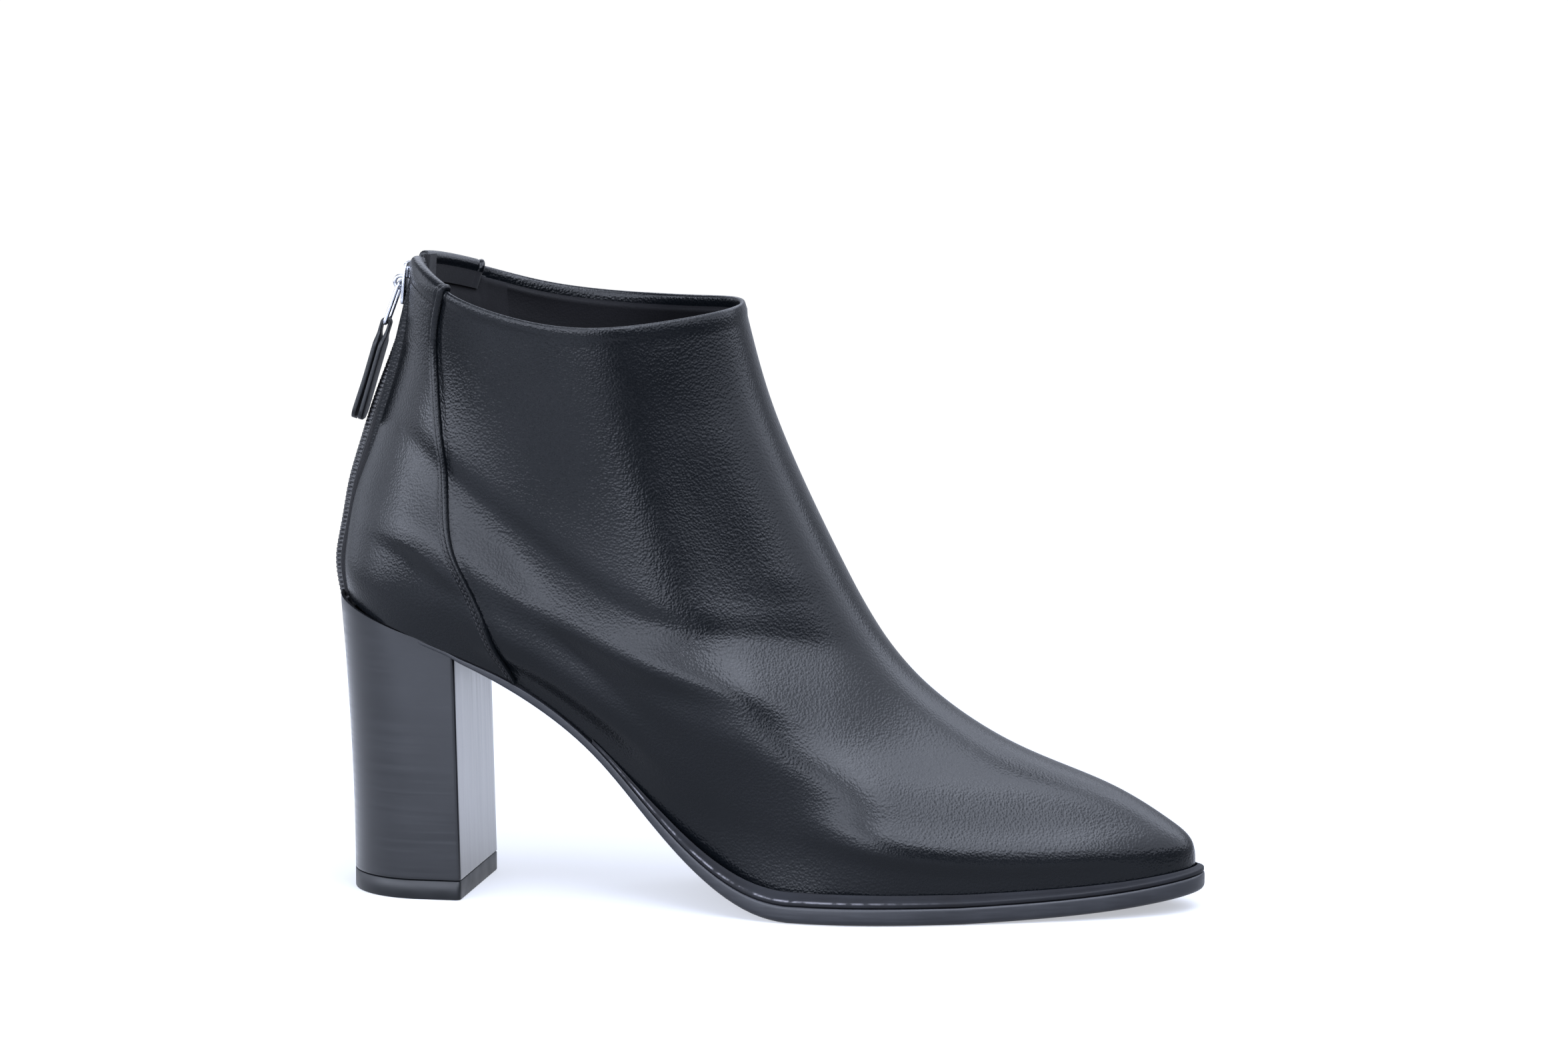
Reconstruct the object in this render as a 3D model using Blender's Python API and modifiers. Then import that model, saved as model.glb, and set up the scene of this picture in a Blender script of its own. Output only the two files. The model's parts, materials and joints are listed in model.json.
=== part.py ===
# Heeled ankle boot for the right foot, standing empty, with its back zip closed.
# Metres, +Z up, +X towards the toe, +Y towards the inner (medial) side of the foot.

import math

import bmesh
import bpy
import numpy as np

MM = 0.001


def table(names, *rows):
    # A short table as a dictionary: one array per named column.
    return dict(zip(names.split(), np.array(rows, float).T))


# Driving sizes
GAP = 0.3 * MM              # left between neighbouring solids
WALL = 1.8 * MM             # upper leather together with its lining
UPPER_SEAT = 0.60 * MM      # the upper's lower edge above the sole, clear where the wall leans
PANEL = 1.0 * MM            # back panels laid over the upper
PANEL_START = 0.016         # rise of the panels' lower edge, just clear of the sole
SLIT = 4.5 * MM             # half the width of the opening that the zip closes
INSOLE = 2.6 * MM           # insole board and sock
INSOLE_INSET = 2.8 * MM     # the insole's edge inside the upper's outer face
INSOLE_BACK = 1.8 * MM      # further inset at the heel, clear of the zip's tape
INSOLE_BACK_END = 25.0 * MM
WELT_EDGE = 1.2 * MM        # welt at its outer edge
WELT_RISE = 0.05            # rise on the upper that the welt's inner edge reaches
WELT_START = 77.0 * MM      # where the welt begins, low and narrow, at the waist
WELT_FULL = 100.0 * MM      # where it has reached its full height
WELT_SHOULDER = 0.82        # share of the welt's sloping top before it turns up to the upper
WELT_SET = 0.2 * MM         # the welt's edge inside the sole's edge
WELT_LOW = 0.5              # share of its edge height where it begins
HEEL_CAP = 5.4 * MM         # rubber top piece under the heel
HEEL_HALF = 24.7 * MM       # half the width of the heel block
HEEL_ROUND = 22.7 * MM      # length of its rounded back
HEEL_CORNER = 1.2 * MM      # rounding of its two front corners
CORNER_CUT = 0.3            # how much of that size the rounding takes off the corner
HEEL_FOOT_X = 5.0 * MM      # back of the heel at the floor
HEEL_LEAN = 3.8 * MM        # how far the heel's back leans out at its top
HEEL_LEAN_POWER = 1.8       # keeps that lean near the top
BREAST_X = 40.2 * MM        # front face of the heel at the floor
BREAST_LEAN = 1.7 * MM      # how far that face leans back at its top
TOE_SWEEP = 4.5 * MM        # the toe's turn towards the inner side
SWEEP_START = 120.0 * MM
MEDIAL_WAIST = 0.17         # the inner side's waist is narrower by this share
MEDIAL_COLLAR = 1.3 * MM    # the inner side's collar is higher by this much
BALL_SKEW = 0.7             # sets the inner ball forward of the outer one
BALL_MIDDLE = 0.66          # the ball's middle as a share of the ring's length
BALL_SPREAD = 0.16          # reach of that skew, in the same shares
WAIST_SPREAD = 0.14         # reach of the narrower waist
SOLE_FADE = 1.35            # how soon the rings leave the sole's curve on the way up
COLLAR_FADE = 3             # how late they take up the collar's curve

# The upper's rings, sole to collar, in millimetres: back and ridge points, the end radii and
# half widths at the posts below. Seam is the back panel's edge as a share of the ring's length.
RING = table(
    "rise back_x back_z front_x front_z back_r heel waist arch ball toe front_r seam",
    (0.0, 4.4, 85.0, 245.2, 10.6, 23, 24.5, 23.0, 33.0, 36.0, 19.5, 9.0, 0.220),
    (0.1, 3.3, 93.0, 244.4, 18.8, 23, 25.6, 26.5, 35.0, 36.6, 19.6, 9.0, 0.203),
    (0.2, 3.8, 100.0, 237.2, 25.4, 21, 25.8, 29.0, 36.0, 36.0, 18.5, 8.5, 0.193),
    (0.3, 5.0, 108.0, 220.3, 34.9, 17, 24.6, 30.0, 35.5, 34.5, 18.0, 9.0, 0.183),
    (0.4, 6.9, 116.5, 194.6, 45.0, 13, 22.6, 30.2, 34.5, 32.5, 18.0, 11.0, 0.177),
    (0.5, 10.4, 126.5, 169.5, 61.2, 10, 20.2, 29.8, 33.3, 31.0, 18.0, 14.0, 0.173),
    (0.6, 13.9, 137.0, 153.8, 79.8, 9, 18.4, 29.4, 32.6, 30.0, 18.0, 17.0, 0.163),
    (0.7, 17.4, 147.5, 142.8, 99.7, 10, 17.4, 29.2, 32.4, 29.7, 18.0, 20.0, 0.140),
    (0.8, 20.2, 157.5, 132.8, 120.2, 13, 17.2, 29.4, 32.8, 29.8, 18.2, 22.0, 0.120),
    (0.9, 21.8, 168.0, 123.5, 143.2, 17, 17.6, 29.8, 33.6, 30.4, 18.6, 24.0, 0.115),
    (1.0, 22.9, 180.3, 116.4, 169.4, 20, 18.6, 30.6, 34.4, 31.0, 19.0, 26.0, 0.142),
)
POSTS = {"heel": 0.08, "waist": 0.30, "arch": 0.50, "ball": 0.70, "toe": 0.90}

# The collar's dip below the straight line from its back to its front
COLLAR = table(
    "along drop",
    (0.00, 0.0), (0.12, 4.0), (0.30, 7.6), (0.55, 8.2), (0.80, 4.6), (1.00, 0.0),
)

# The sole from heel to toe: its underside, thickness, and edge beyond the upper
SOLE = table(
    "x tread thick ledge",
    (0, 83.4, 1.2, 0.9),
    (22, 75.3, 1.2, 0.9),
    (41, 68.2, 1.4, 0.9),
    (56, 60.0, 2.6, 0.7),
    (68, 51.6, 2.9, 0.6),
    (80, 41.0, 3.1, 0.9),
    (92, 28.2, 3.5, 2.2),
    (104, 16.2, 4.0, 3.4),
    (116, 7.0, 4.5, 4.0),
    (128, 1.4, 4.9, 4.2),
    (142, -0.3, 5.0, 4.2),
    (182, -0.1, 5.0, 4.2),
    (205, 0.8, 5.0, 4.0),
    (228, 2.6, 5.0, 3.4),
    (248, 5.4, 5.0, 2.6),
)
LENGTH = SOLE["x"][-1] * MM
# The rounded lower edge of the sole: height as a share of the thickness, inset as a share of 5 mm
SOLE_EDGE = table("height inset", (0.0, 0.36), (0.10, 0.12), (0.34, 0.0), (1.0, 0.03))

# The zip stands out of its slit where the stiff chain bridges the hollow above the heel
ZIP = table("rise bulge", (0.0, 1.6), (0.12, 2.4), (0.3, 1.8), (0.55, 2.5), (0.8, 0.6), (1.0, -1.0))
TAPE = 0.6 * MM
TAPE_FLAT = 2.6 * MM        # half width of the tape's raised middle
TAPE_FOOT = 4.1 * MM        # where the tape has gone back under the leather
TAPE_MIDWAY = 6.0 * MM
TAPE_HALF = 8.0 * MM
COIL_HALF = 2.2 * MM
COIL_THICK = 1.5 * MM
COIL_START = 0.004
COIL_TOP = 0.920            # rise at which the chain enters the slider
TAPE_PART = 0.930           # rise from which the two tapes part around the slider's neck
SLIDER_RISE = 0.935
SLIDER_HEIGHT = 12.0 * MM
SLIDER_HALF = 3.8 * MM
SLIDER_PLATE = 1.0 * MM
SLIDER_BACK_HALF = 2.2 * MM
SLIDER_ROUND = 0.5 * MM
SLIDER_BACK_ROUND = 0.3 * MM
SLIDER_JOIN = 0.4 * MM      # how far the slider's neck and bridge run into its plates
NECK_HALF = 1.2 * MM
HINGE_OUT = 1.0 * MM        # the pull's axis in front of the slider's face
BRIDGE_RADIUS = 1.75 * MM
BRIDGE_WIRE = 0.55 * MM
PULL_WIRE = 0.6 * MM
PULL_LENGTH = 12.4 * MM     # between the ring's two bars
PULL_HALF = 2.7 * MM
PULL_CORNER = 1.1 * MM
RING_LEAN = math.radians(20)
TAB_LEAN = math.radians(16.6)
TAB_LENGTH = 29.0 * MM
TAB_HALF = 4.4 * MM
TAB_NECK_HALF = 1.6 * MM
TAB_NECK = 3.4 * MM
TAB_FOLD = 1.6 * MM         # leather above the ring's lower bar
TAB_SHOULDER = 2.4 * MM
TAB_ROUND = 0.8             # depth of its round end as a share of its half width
TAB_EDGE = 0.4 * MM
TAB_THICK = 3.2 * MM
TAB_BORE = 0.95 * MM

# Mesh densities
RISES = 23
BACK_SHARES = np.array([0, 0.06, 0.14, 0.27, 0.45, 0.65, 0.83, 1])    # slit to seam, close at the zip
FRONT_STEPS = 20
SOLE_STEPS = 48
HEEL_STEPS = 14


def spline(knots, values, at):
    # Natural cubic curve through the values at the knots.
    gaps = np.diff(knots)
    slopes = np.diff(values) / gaps
    system = np.eye(len(knots))
    right = np.zeros(len(knots))
    for i in range(1, len(knots) - 1):
        system[i, i - 1:i + 2] = gaps[i - 1], 2 * (gaps[i - 1] + gaps[i]), gaps[i]
        right[i] = 6 * (slopes[i] - slopes[i - 1])
    bend = np.linalg.solve(system, right)
    i = np.clip(np.searchsorted(knots, at) - 1, 0, len(knots) - 2)
    gap = gaps[i]
    before = at - knots[i]
    after = knots[i + 1] - at
    curve = (bend[i] * after ** 3 + bend[i + 1] * before ** 3) / (6 * gap)
    curve += (values[i] / gap - bend[i] * gap / 6) * after
    curve += (values[i + 1] / gap - bend[i + 1] * gap / 6) * before
    return curve


def tread(x):
    # Underside of the sole, flat on the floor under the forefoot.
    return np.maximum(0.0, spline(SOLE["x"], SOLE["tread"], x / MM)) * MM


def sole_thickness(x):
    return spline(SOLE["x"], SOLE["thick"], x / MM) * MM


def sole_top(x):
    return tread(x) + sole_thickness(x)


def sole_ledge(x):
    return spline(SOLE["x"], SOLE["ledge"], x / MM) * MM


def between(start, end, share):
    return start + (end - start) * share


def ring_rows(rise):
    # The ring table read at each rise, lengths in metres, shaped to go with rows of turns.
    rows = {}
    for name, values in RING.items():
        unit = 1.0 if name in ("rise", "seam") else MM
        rows[name] = spline(RING["rise"], values, rise)[:, None] * unit
    return rows


def end_half_width(rows, radius):
    # Half width that gives an oval ring the wanted radius at its end.
    return np.sqrt(rows[radius] * (rows["front_x"] - rows["back_x"]) / 2)


def skin(rise, turn, side):
    # Outer face of the upper. One rise per row, 0 at the sole and 1 at the collar. Turns run
    # from 0 at the back to pi at the ridge. Side is -1 for the outer side, +1 for the inner.
    rows = ring_rows(rise)
    rise = rise[:, None]
    along = (1 - np.cos(turn)) / 2
    x = between(rows["back_x"], rows["front_x"], along)
    foot_x = between(RING["back_x"][0], RING["front_x"][0], along) * MM
    foot_chord = between(RING["back_z"][0], RING["front_z"][0], along) * MM
    foot_path = sole_top(foot_x) + UPPER_SEAT - foot_chord
    collar_path = -spline(COLLAR["along"], COLLAR["drop"], along) * MM
    collar_path += MEDIAL_COLLAR * np.sin(turn) * (side > 0)
    z = between(rows["back_z"], rows["front_z"], along)
    z += foot_path * np.clip(1 - rise, 0, 1) ** SOLE_FADE + collar_path * rise ** COLLAR_FADE

    posts = np.array([0.0, *POSTS.values(), 1.0])
    ovals = [end_half_width(rows, "back_r")]
    for name, post in POSTS.items():
        ovals.append(rows[name] / (2 * math.sqrt(post * (1 - post))))
    ovals.append(end_half_width(rows, "front_r"))
    ovals = np.hstack(ovals)
    half = np.array([spline(posts, oval, share) for oval, share in zip(ovals, along)])
    if side > 0:
        hollow = np.exp(-((along - POSTS["waist"]) / WAIST_SPREAD) ** 2)
        half *= 1 - MEDIAL_WAIST * hollow * (1 - rise) ** 2
    ahead = along - BALL_MIDDLE
    half *= 1 + side * BALL_SKEW * ahead * np.exp(-(ahead / BALL_SPREAD) ** 2) * (1 - rise)
    sweep = TOE_SWEEP * (np.maximum(0, x - SWEEP_START) / (LENGTH - SWEEP_START)) ** 2
    return np.stack([x, side * half * np.sin(turn) + sweep, z], axis=-1)


def raised_skin(rise, turn, side, lift):
    # The upper's face moved outwards along its normal by the lift.
    step = 1e-3
    across = skin(rise, turn + step, side) - skin(rise, turn - step, side)
    up = skin(rise + step, turn, side) - skin(rise - step, turn, side)
    normal = -side * np.cross(across, up)
    normal /= np.linalg.norm(normal, axis=-1, keepdims=True)
    return skin(rise, turn, side) + normal * np.asarray(lift)[..., None]


def turn_at(rise, y):
    # Turn at which the ring is y away from the back's middle.
    return np.arcsin(y / end_half_width(ring_rows(rise), "back_r"))


def seam_turn(rise):
    return np.arccos(1 - 2 * spline(RING["rise"], RING["seam"], rise))[:, None]


def rise_rows(start=0.0, end=1.0, count=RISES):
    # Rises from the sole to the collar, closer together near the sole.
    share = np.linspace(0, 1, count)
    return start + (end - start) * (0.7 * share + 0.3 * share ** 2)


def make_material(name, colour, roughness, metallic=0.0):
    material = bpy.data.materials.new(name)
    material.use_nodes = True
    shader = material.node_tree.nodes["Principled BSDF"]
    shader.inputs["Base Color"].default_value = (*colour, 1.0)
    shader.inputs["Roughness"].default_value = roughness
    shader.inputs["Metallic"].default_value = metallic
    return material


def add_object(name, data, material, parent):
    piece = bpy.data.objects.new(name, data)
    boot.objects.link(piece)
    piece.parent = parent
    data.materials.append(material)
    return piece


def mesh_from(name, points, faces):
    mesh = bpy.data.meshes.new(name)
    mesh.from_pydata([tuple(p) for p in points], [], faces)
    mesh.shade_smooth()
    mesh.set_sharp_from_angle(angle=math.radians(40))
    return mesh


def sheet(name, points, thickness, material):
    # Open surface over rows and columns of points, thickened towards its inner side.
    rows, columns = points.shape[:2]
    faces = []
    for r in range(rows - 1):
        for c in range(columns - 1):
            corner = r * columns + c
            faces.append((corner, corner + 1, corner + columns + 1, corner + columns))
    piece = add_object(name, mesh_from(name, points.reshape(-1, 3), faces), material, root)
    solidify = piece.modifiers.new("wall", "SOLIDIFY")
    solidify.thickness = thickness
    solidify.offset = -1.0
    solidify.use_even_offset = True
    return piece


def lofted_sides(loops):
    # Quads that join each closed loop of points to the next one.
    count = loops.shape[1]
    faces = []
    for level in range(len(loops) - 1):
        for i in range(count):
            j = (i + 1) % count
            faces.append((level * count + i, level * count + j,
                          (level + 1) * count + j, (level + 1) * count + i))
    return faces


def slab(name, loops, material):
    # Stacked closed loops, lowest first, that start at the back's middle and run along the outer
    # side. Both ends are closed by strips across, so they can follow a curve from heel to toe.
    count = loops.shape[1]
    faces = lofted_sides(loops)
    top = (len(loops) - 1) * count
    for i in range((count - 1) // 2):
        strip = [i, i + 1, count - i - 1, (count - i) % count]
        strip = list(dict.fromkeys(strip))
        faces.append(tuple(top + k for k in strip))
        faces.append(tuple(reversed(strip)))
    if count % 2 == 0:
        middle = count // 2
        tip = (middle - 1, middle, middle + 1)
        faces.append(tuple(top + k for k in tip))
        faces.append(tuple(reversed(tip)))
    return add_object(name, mesh_from(name, loops.reshape(-1, 3), faces), material, root)


def bar(name, sections, material):
    # Closed sections swept along a path, with a flat face at each end.
    count = sections.shape[1]
    faces = lofted_sides(sections)
    faces.append(tuple(reversed(range(count))))
    faces.append(tuple((len(sections) - 1) * count + i for i in range(count)))
    return add_object(name, mesh_from(name, sections.reshape(-1, 3), faces), material, root)


def feather_loop(rise, steps=SOLE_STEPS):
    # The upper's outline seen from above at one rise, as a closed loop, with outward directions.
    turn = np.linspace(0, math.pi, steps + 1)[None, :]
    rise = np.array([rise])
    outer = skin(rise, turn, -1)[0]
    inner = skin(rise, turn, 1)[0]
    loop = np.vstack([outer, inner[-2:0:-1]])
    tangent = np.roll(loop, -1, axis=0) - np.roll(loop, 1, axis=0)
    out = np.stack([tangent[:, 1], -tangent[:, 0]], axis=-1)
    return loop, out / np.linalg.norm(out, axis=-1, keepdims=True)


def build_upper():
    rise = rise_rows()
    seam = seam_turn(rise)
    back = between(turn_at(rise, SLIT), seam, BACK_SHARES)
    front = between(seam, math.pi, np.linspace(0, 1, FRONT_STEPS + 1)[None, 1:])
    turn = np.hstack([back, front])
    outer = skin(rise, turn, -1)
    inner = skin(rise, turn, 1)[:, -2::-1]
    return sheet("upper", np.hstack([outer, inner]), WALL, leather)


def build_back_panel(name, side):
    rise = rise_rows(PANEL_START)
    turn = between(turn_at(rise, SLIT), seam_turn(rise), BACK_SHARES)
    points = raised_skin(rise, turn, side, GAP + PANEL)
    return sheet(name, points if side < 0 else points[:, ::-1], PANEL, panel_leather)


def zip_face(rise, y):
    # Outer face of the zip's tape: raised in the middle, tucked behind the leather at its edges.
    bulge = spline(ZIP["rise"], ZIP["bulge"], rise)[:, None] * MM
    tucked = -(WALL + 1.5 * GAP)
    fall = np.clip((np.abs(y) - TAPE_FLAT) / (TAPE_FOOT - TAPE_FLAT), 0, 1)
    return between(bulge, tucked, fall)


def build_tape(name, side):
    rise = rise_rows()
    start = np.where(rise < TAPE_PART, GAP / 2, NECK_HALF + GAP)[:, None]
    marks = np.array([TAPE_FLAT, between(TAPE_FLAT, TAPE_FOOT, 0.5), TAPE_FOOT, TAPE_MIDWAY, TAPE_HALF])
    y = np.hstack([start, np.tile(marks, (len(rise), 1))])
    points = raised_skin(rise, turn_at(rise, y), side, zip_face(rise, y))
    return sheet(name, points if side < 0 else points[:, ::-1], TAPE, zip_black)


def zip_line(rise, lift):
    # The zip's middle line, lifted off the face of its tape, and its outward direction.
    zero = np.zeros((len(rise), 1))
    low = raised_skin(rise, zero, -1, zip_face(rise, zero) + lift)[:, 0]
    high = raised_skin(rise, zero, -1, zip_face(rise, zero) + lift + MM)[:, 0]
    return low, (high - low) / MM


def build_coil():
    rise = rise_rows(COIL_START, COIL_TOP)
    base, out = zip_line(rise, GAP)
    angles = np.linspace(0, math.pi, 6)
    across = np.append(np.cos(angles) * COIL_HALF, 0.0)
    height = np.append(np.sin(angles) ** 0.6 * COIL_THICK, 0.0)
    sideways = np.array([0.0, 1.0, 0.0])
    sections = base[:, None] + across[:, None] * sideways + height[:, None] * out[:, None]
    return bar("zip_coil", sections, zip_black)


def build_sole():
    loop, out = feather_loop(0.0)
    levels = []
    for height, inset in zip(SOLE_EDGE["height"], SOLE_EDGE["inset"]):
        ledge = sole_ledge(loop[:, 0]) - inset * sole_thickness(loop[:, 0])
        level = loop.copy()
        level[:, :2] += out * ledge[:, None]
        level[:, 2] = tread(level[:, 0]) + height * sole_thickness(level[:, 0])
        levels.append(level)
    return slab("outsole", np.array(levels), sole_leather)


def build_insole():
    loop, out = feather_loop(0.0)
    inset = INSOLE_INSET + INSOLE_BACK * np.clip(1 - loop[:, 0] / INSOLE_BACK_END, 0, 1)
    levels = []
    for height in (GAP, GAP + INSOLE):
        level = loop.copy()
        level[:, :2] -= out * inset[:, None]
        level[:, 2] = sole_top(level[:, 0]) + height
        levels.append(level)
    return slab("insole", np.array(levels), lining_leather)


def build_welt():
    # A ledge around the forefoot, from the waist on one side over the toe to the other.
    foot, out = feather_loop(0.0)
    head, head_out = feather_loop(WELT_RISE)
    kept = np.where(foot[:, 0] > WELT_START)[0]
    foot, out, head, head_out = foot[kept], out[kept], head[kept], head_out[kept]
    growth = np.clip((foot[:, 0] - WELT_START) / (WELT_FULL - WELT_START), 0, 1)[:, None]

    def on_sole(plan, height):
        return np.column_stack([plan, sole_top(plan[:, 0]) + height])

    inside = foot[:, :2] + out * 2 * GAP
    outside = foot[:, :2] + out * (sole_ledge(foot[:, 0]) - WELT_SET)[:, None]
    bottom_in = on_sole(inside, GAP)
    bottom_out = on_sole(outside, GAP)
    top_out = on_sole(outside, GAP + WELT_EDGE * between(WELT_LOW, 1.0, growth[:, 0]))
    full = head.copy()
    full[:, :2] += head_out * 2 * GAP
    top_in = between(on_sole(inside, GAP + WELT_EDGE), full, growth)
    shoulder = between(top_out, top_in, WELT_SHOULDER)
    sections = np.stack([bottom_in, top_in, shoulder, top_out, bottom_out], axis=1)
    return bar("welt", sections, welt_leather)


def heel_section(share):
    # The heel's outline at a share of its height: a round back, straight sides, a flat front.
    back = HEEL_FOOT_X - HEEL_LEAN * share ** HEEL_LEAN_POWER
    breast = BREAST_X - BREAST_LEAN * share
    angle = np.linspace(0, math.pi / 2, HEEL_STEPS + 1)
    x = list(back + HEEL_ROUND * (1 - np.cos(angle)))
    y = list(HEEL_HALF * np.sin(angle))
    x += [breast - HEEL_CORNER, breast - CORNER_CUT * HEEL_CORNER, breast]
    y += [HEEL_HALF, HEEL_HALF - CORNER_CUT * HEEL_CORNER, HEEL_HALF - HEEL_CORNER]
    outer = np.column_stack([x, -np.array(y)])
    inner = np.column_stack([x, y])
    return np.vstack([outer, inner[:0:-1]])


def build_heel():
    base = HEEL_CAP + GAP
    levels = []
    for share in (0.0, 0.25, 0.5, 0.7, 0.86, 1.0):
        plan = heel_section(share)
        top = tread(plan[:, 0]) - GAP
        levels.append(np.column_stack([plan, between(base, top, share)]))
    return slab("heel_block", np.array(levels), heel_stack)


def flat_curve(name, plan, thickness, material, parent):
    # A flat outline filled and thickened to both sides of its own plane.
    curve = bpy.data.curves.new(name, "CURVE")
    curve.dimensions = "2D"
    curve.fill_mode = "BOTH"
    curve.extrude = thickness / 2
    line = curve.splines.new("POLY")
    line.points.add(len(plan) - 1)
    for point, (x, y) in zip(line.points, plan):
        point.co = (x, y, 0.0, 1.0)
    line.use_cyclic_u = True
    return add_object(name, curve, material, parent)


def wire_curve(name, points, radius, cyclic, material, parent):
    curve = bpy.data.curves.new(name, "CURVE")
    curve.dimensions = "3D"
    curve.bevel_depth = radius
    curve.bevel_resolution = 2
    curve.use_fill_caps = True
    line = curve.splines.new("POLY")
    line.points.add(len(points) - 1)
    for point, place in zip(line.points, points):
        point.co = (*place, 1.0)
    line.use_cyclic_u = cyclic
    return add_object(name, curve, material, parent)


def curve_to_mesh(piece):
    # The curve as a closed mesh of its own, ready to be cut or joined.
    depsgraph = bpy.context.evaluated_depsgraph_get()
    mesh = bpy.data.meshes.new_from_object(piece.evaluated_get(depsgraph))
    shape = bmesh.new()
    shape.from_mesh(mesh)
    bmesh.ops.remove_doubles(shape, verts=shape.verts, dist=1e-6)
    shape.to_mesh(mesh)
    shape.free()
    name, parent, matrix = piece.name, piece.parent, piece.matrix_basis.copy()
    bpy.data.objects.remove(piece)
    solid = bpy.data.objects.new(name, mesh)
    boot.objects.link(solid)
    solid.parent = parent
    solid.matrix_basis = matrix
    return solid


def box(name, low, high, collection, parent):
    mesh = bpy.data.meshes.new(name)
    shape = bmesh.new()
    bmesh.ops.create_cube(shape, size=1.0)
    for vert in shape.verts:
        for axis in range(3):
            vert.co[axis] = between(low[axis], high[axis], vert.co[axis] + 0.5)
    shape.to_mesh(mesh)
    shape.free()
    piece = bpy.data.objects.new(name, mesh)
    collection.objects.link(piece)
    piece.parent = parent
    return piece


def combine(piece, other, operation):
    # Joins or cuts with another piece, which stays hidden as a guide.
    other.hide_render = True
    other.display_type = "WIRE"
    change = piece.modifiers.new(operation.lower(), "BOOLEAN")
    change.operation = operation
    change.object = other
    return change


def round_edges(piece, width):
    bevel = piece.modifiers.new("round", "BEVEL")
    bevel.width = width
    bevel.segments = 2
    bevel.limit_method = "ANGLE"


def build_slider(axis):
    # The slider's two plates hold the chain between them. Its frame has the pull's axis at the
    # origin, local -X facing away from the boot and local Z along the zip.
    face = HINGE_OUT
    channel = face + SLIDER_PLATE
    behind = channel + 3 * GAP + COIL_THICK + GAP + TAPE + GAP
    half = SLIDER_HEIGHT / 2
    slider = box("zip_slider", (face, -SLIDER_HALF, -half), (channel, SLIDER_HALF, half), boot, axis)
    slider.data.materials.append(silver)
    round_edges(slider, SLIDER_ROUND)
    plate = box("slider_inner_plate", (behind, -SLIDER_BACK_HALF, -half),
                (behind + SLIDER_PLATE, SLIDER_BACK_HALF, half), guides, axis)
    round_edges(plate, SLIDER_BACK_ROUND)
    neck = box("slider_neck", (channel - SLIDER_JOIN, -NECK_HALF, 0.2 * half),
               (behind + SLIDER_JOIN, NECK_HALF, 0.8 * half), guides, axis)
    arch = []
    for angle in np.linspace(-0.5 * math.pi, 0.5 * math.pi, 11):
        arch.append((-BRIDGE_RADIUS * math.cos(angle), 0.0, BRIDGE_RADIUS * math.sin(angle)))
    sunk = face + SLIDER_JOIN
    arch = [(sunk, 0.0, -BRIDGE_RADIUS), *arch, (sunk, 0.0, BRIDGE_RADIUS)]
    bridge = wire_curve("slider_bridge", arch, BRIDGE_WIRE, False, silver, axis)
    bridge = curve_to_mesh(bridge)
    boot.objects.unlink(bridge)
    guides.objects.link(bridge)
    for part in (neck, plate, bridge):
        combine(slider, part, "UNION")
    return slider


def build_pull(axis):
    # A wire ring through the slider's bridge, and a folded leather tab on the ring.
    corners = []
    for y, z, start in ((PULL_HALF, 0.0, 0.0), (-PULL_HALF, 0.0, 0.5),
                        (-PULL_HALF, -PULL_LENGTH, 1.0), (PULL_HALF, -PULL_LENGTH, 1.5)):
        centre_y = y - math.copysign(PULL_CORNER, y)
        centre_z = z - math.copysign(PULL_CORNER, z + PULL_LENGTH / 2)
        for step in range(4):
            angle = (start + step / 6) * math.pi
            corners.append((0.0, centre_y + PULL_CORNER * math.cos(angle),
                            centre_z + PULL_CORNER * math.sin(angle)))
    ring = wire_curve("zip_pull_ring", corners, PULL_WIRE, True, silver, axis)
    ring.rotation_euler = (0.0, RING_LEAN, 0.0)

    end = TAB_HALF * TAB_ROUND
    shoulder = -TAB_NECK - TAB_SHOULDER
    outline = [(-TAB_NECK_HALF, TAB_FOLD), (-TAB_NECK_HALF, -TAB_NECK), (-TAB_HALF, shoulder)]
    outline += [(-TAB_HALF, -TAB_LENGTH + end)]
    for angle in np.linspace(math.pi, 2 * math.pi, 9)[1:-1]:
        outline.append((TAB_HALF * math.cos(angle), -TAB_LENGTH + end + end * math.sin(angle)))
    outline += [(TAB_HALF, -TAB_LENGTH + end), (TAB_HALF, shoulder)]
    outline += [(TAB_NECK_HALF, -TAB_NECK), (TAB_NECK_HALF, TAB_FOLD)]
    tab = curve_to_mesh(flat_curve("zip_pull_tab", outline, TAB_THICK, panel_leather, axis))
    for vert in tab.data.vertices:
        vert.co = (vert.co.z, vert.co.x, vert.co.y)
    foot = (-PULL_LENGTH * math.sin(RING_LEAN), 0.0, -PULL_LENGTH * math.cos(RING_LEAN))
    tab.location = foot
    tab.rotation_euler = (0.0, TAB_LEAN, 0.0)
    bore = bpy.data.meshes.new("tab_bore")
    shape = bmesh.new()
    bmesh.ops.create_cone(shape, cap_ends=True, segments=16, radius1=TAB_BORE, radius2=TAB_BORE,
                          depth=4 * TAB_NECK_HALF)
    shape.to_mesh(bore)
    shape.free()
    cutter = bpy.data.objects.new("tab_bore", bore)
    guides.objects.link(cutter)
    cutter.parent = axis
    cutter.location = foot
    cutter.rotation_euler = (math.pi / 2, 0.0, 0.0)
    round_edges(tab, TAB_EDGE)
    combine(tab, cutter, "DIFFERENCE")


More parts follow.
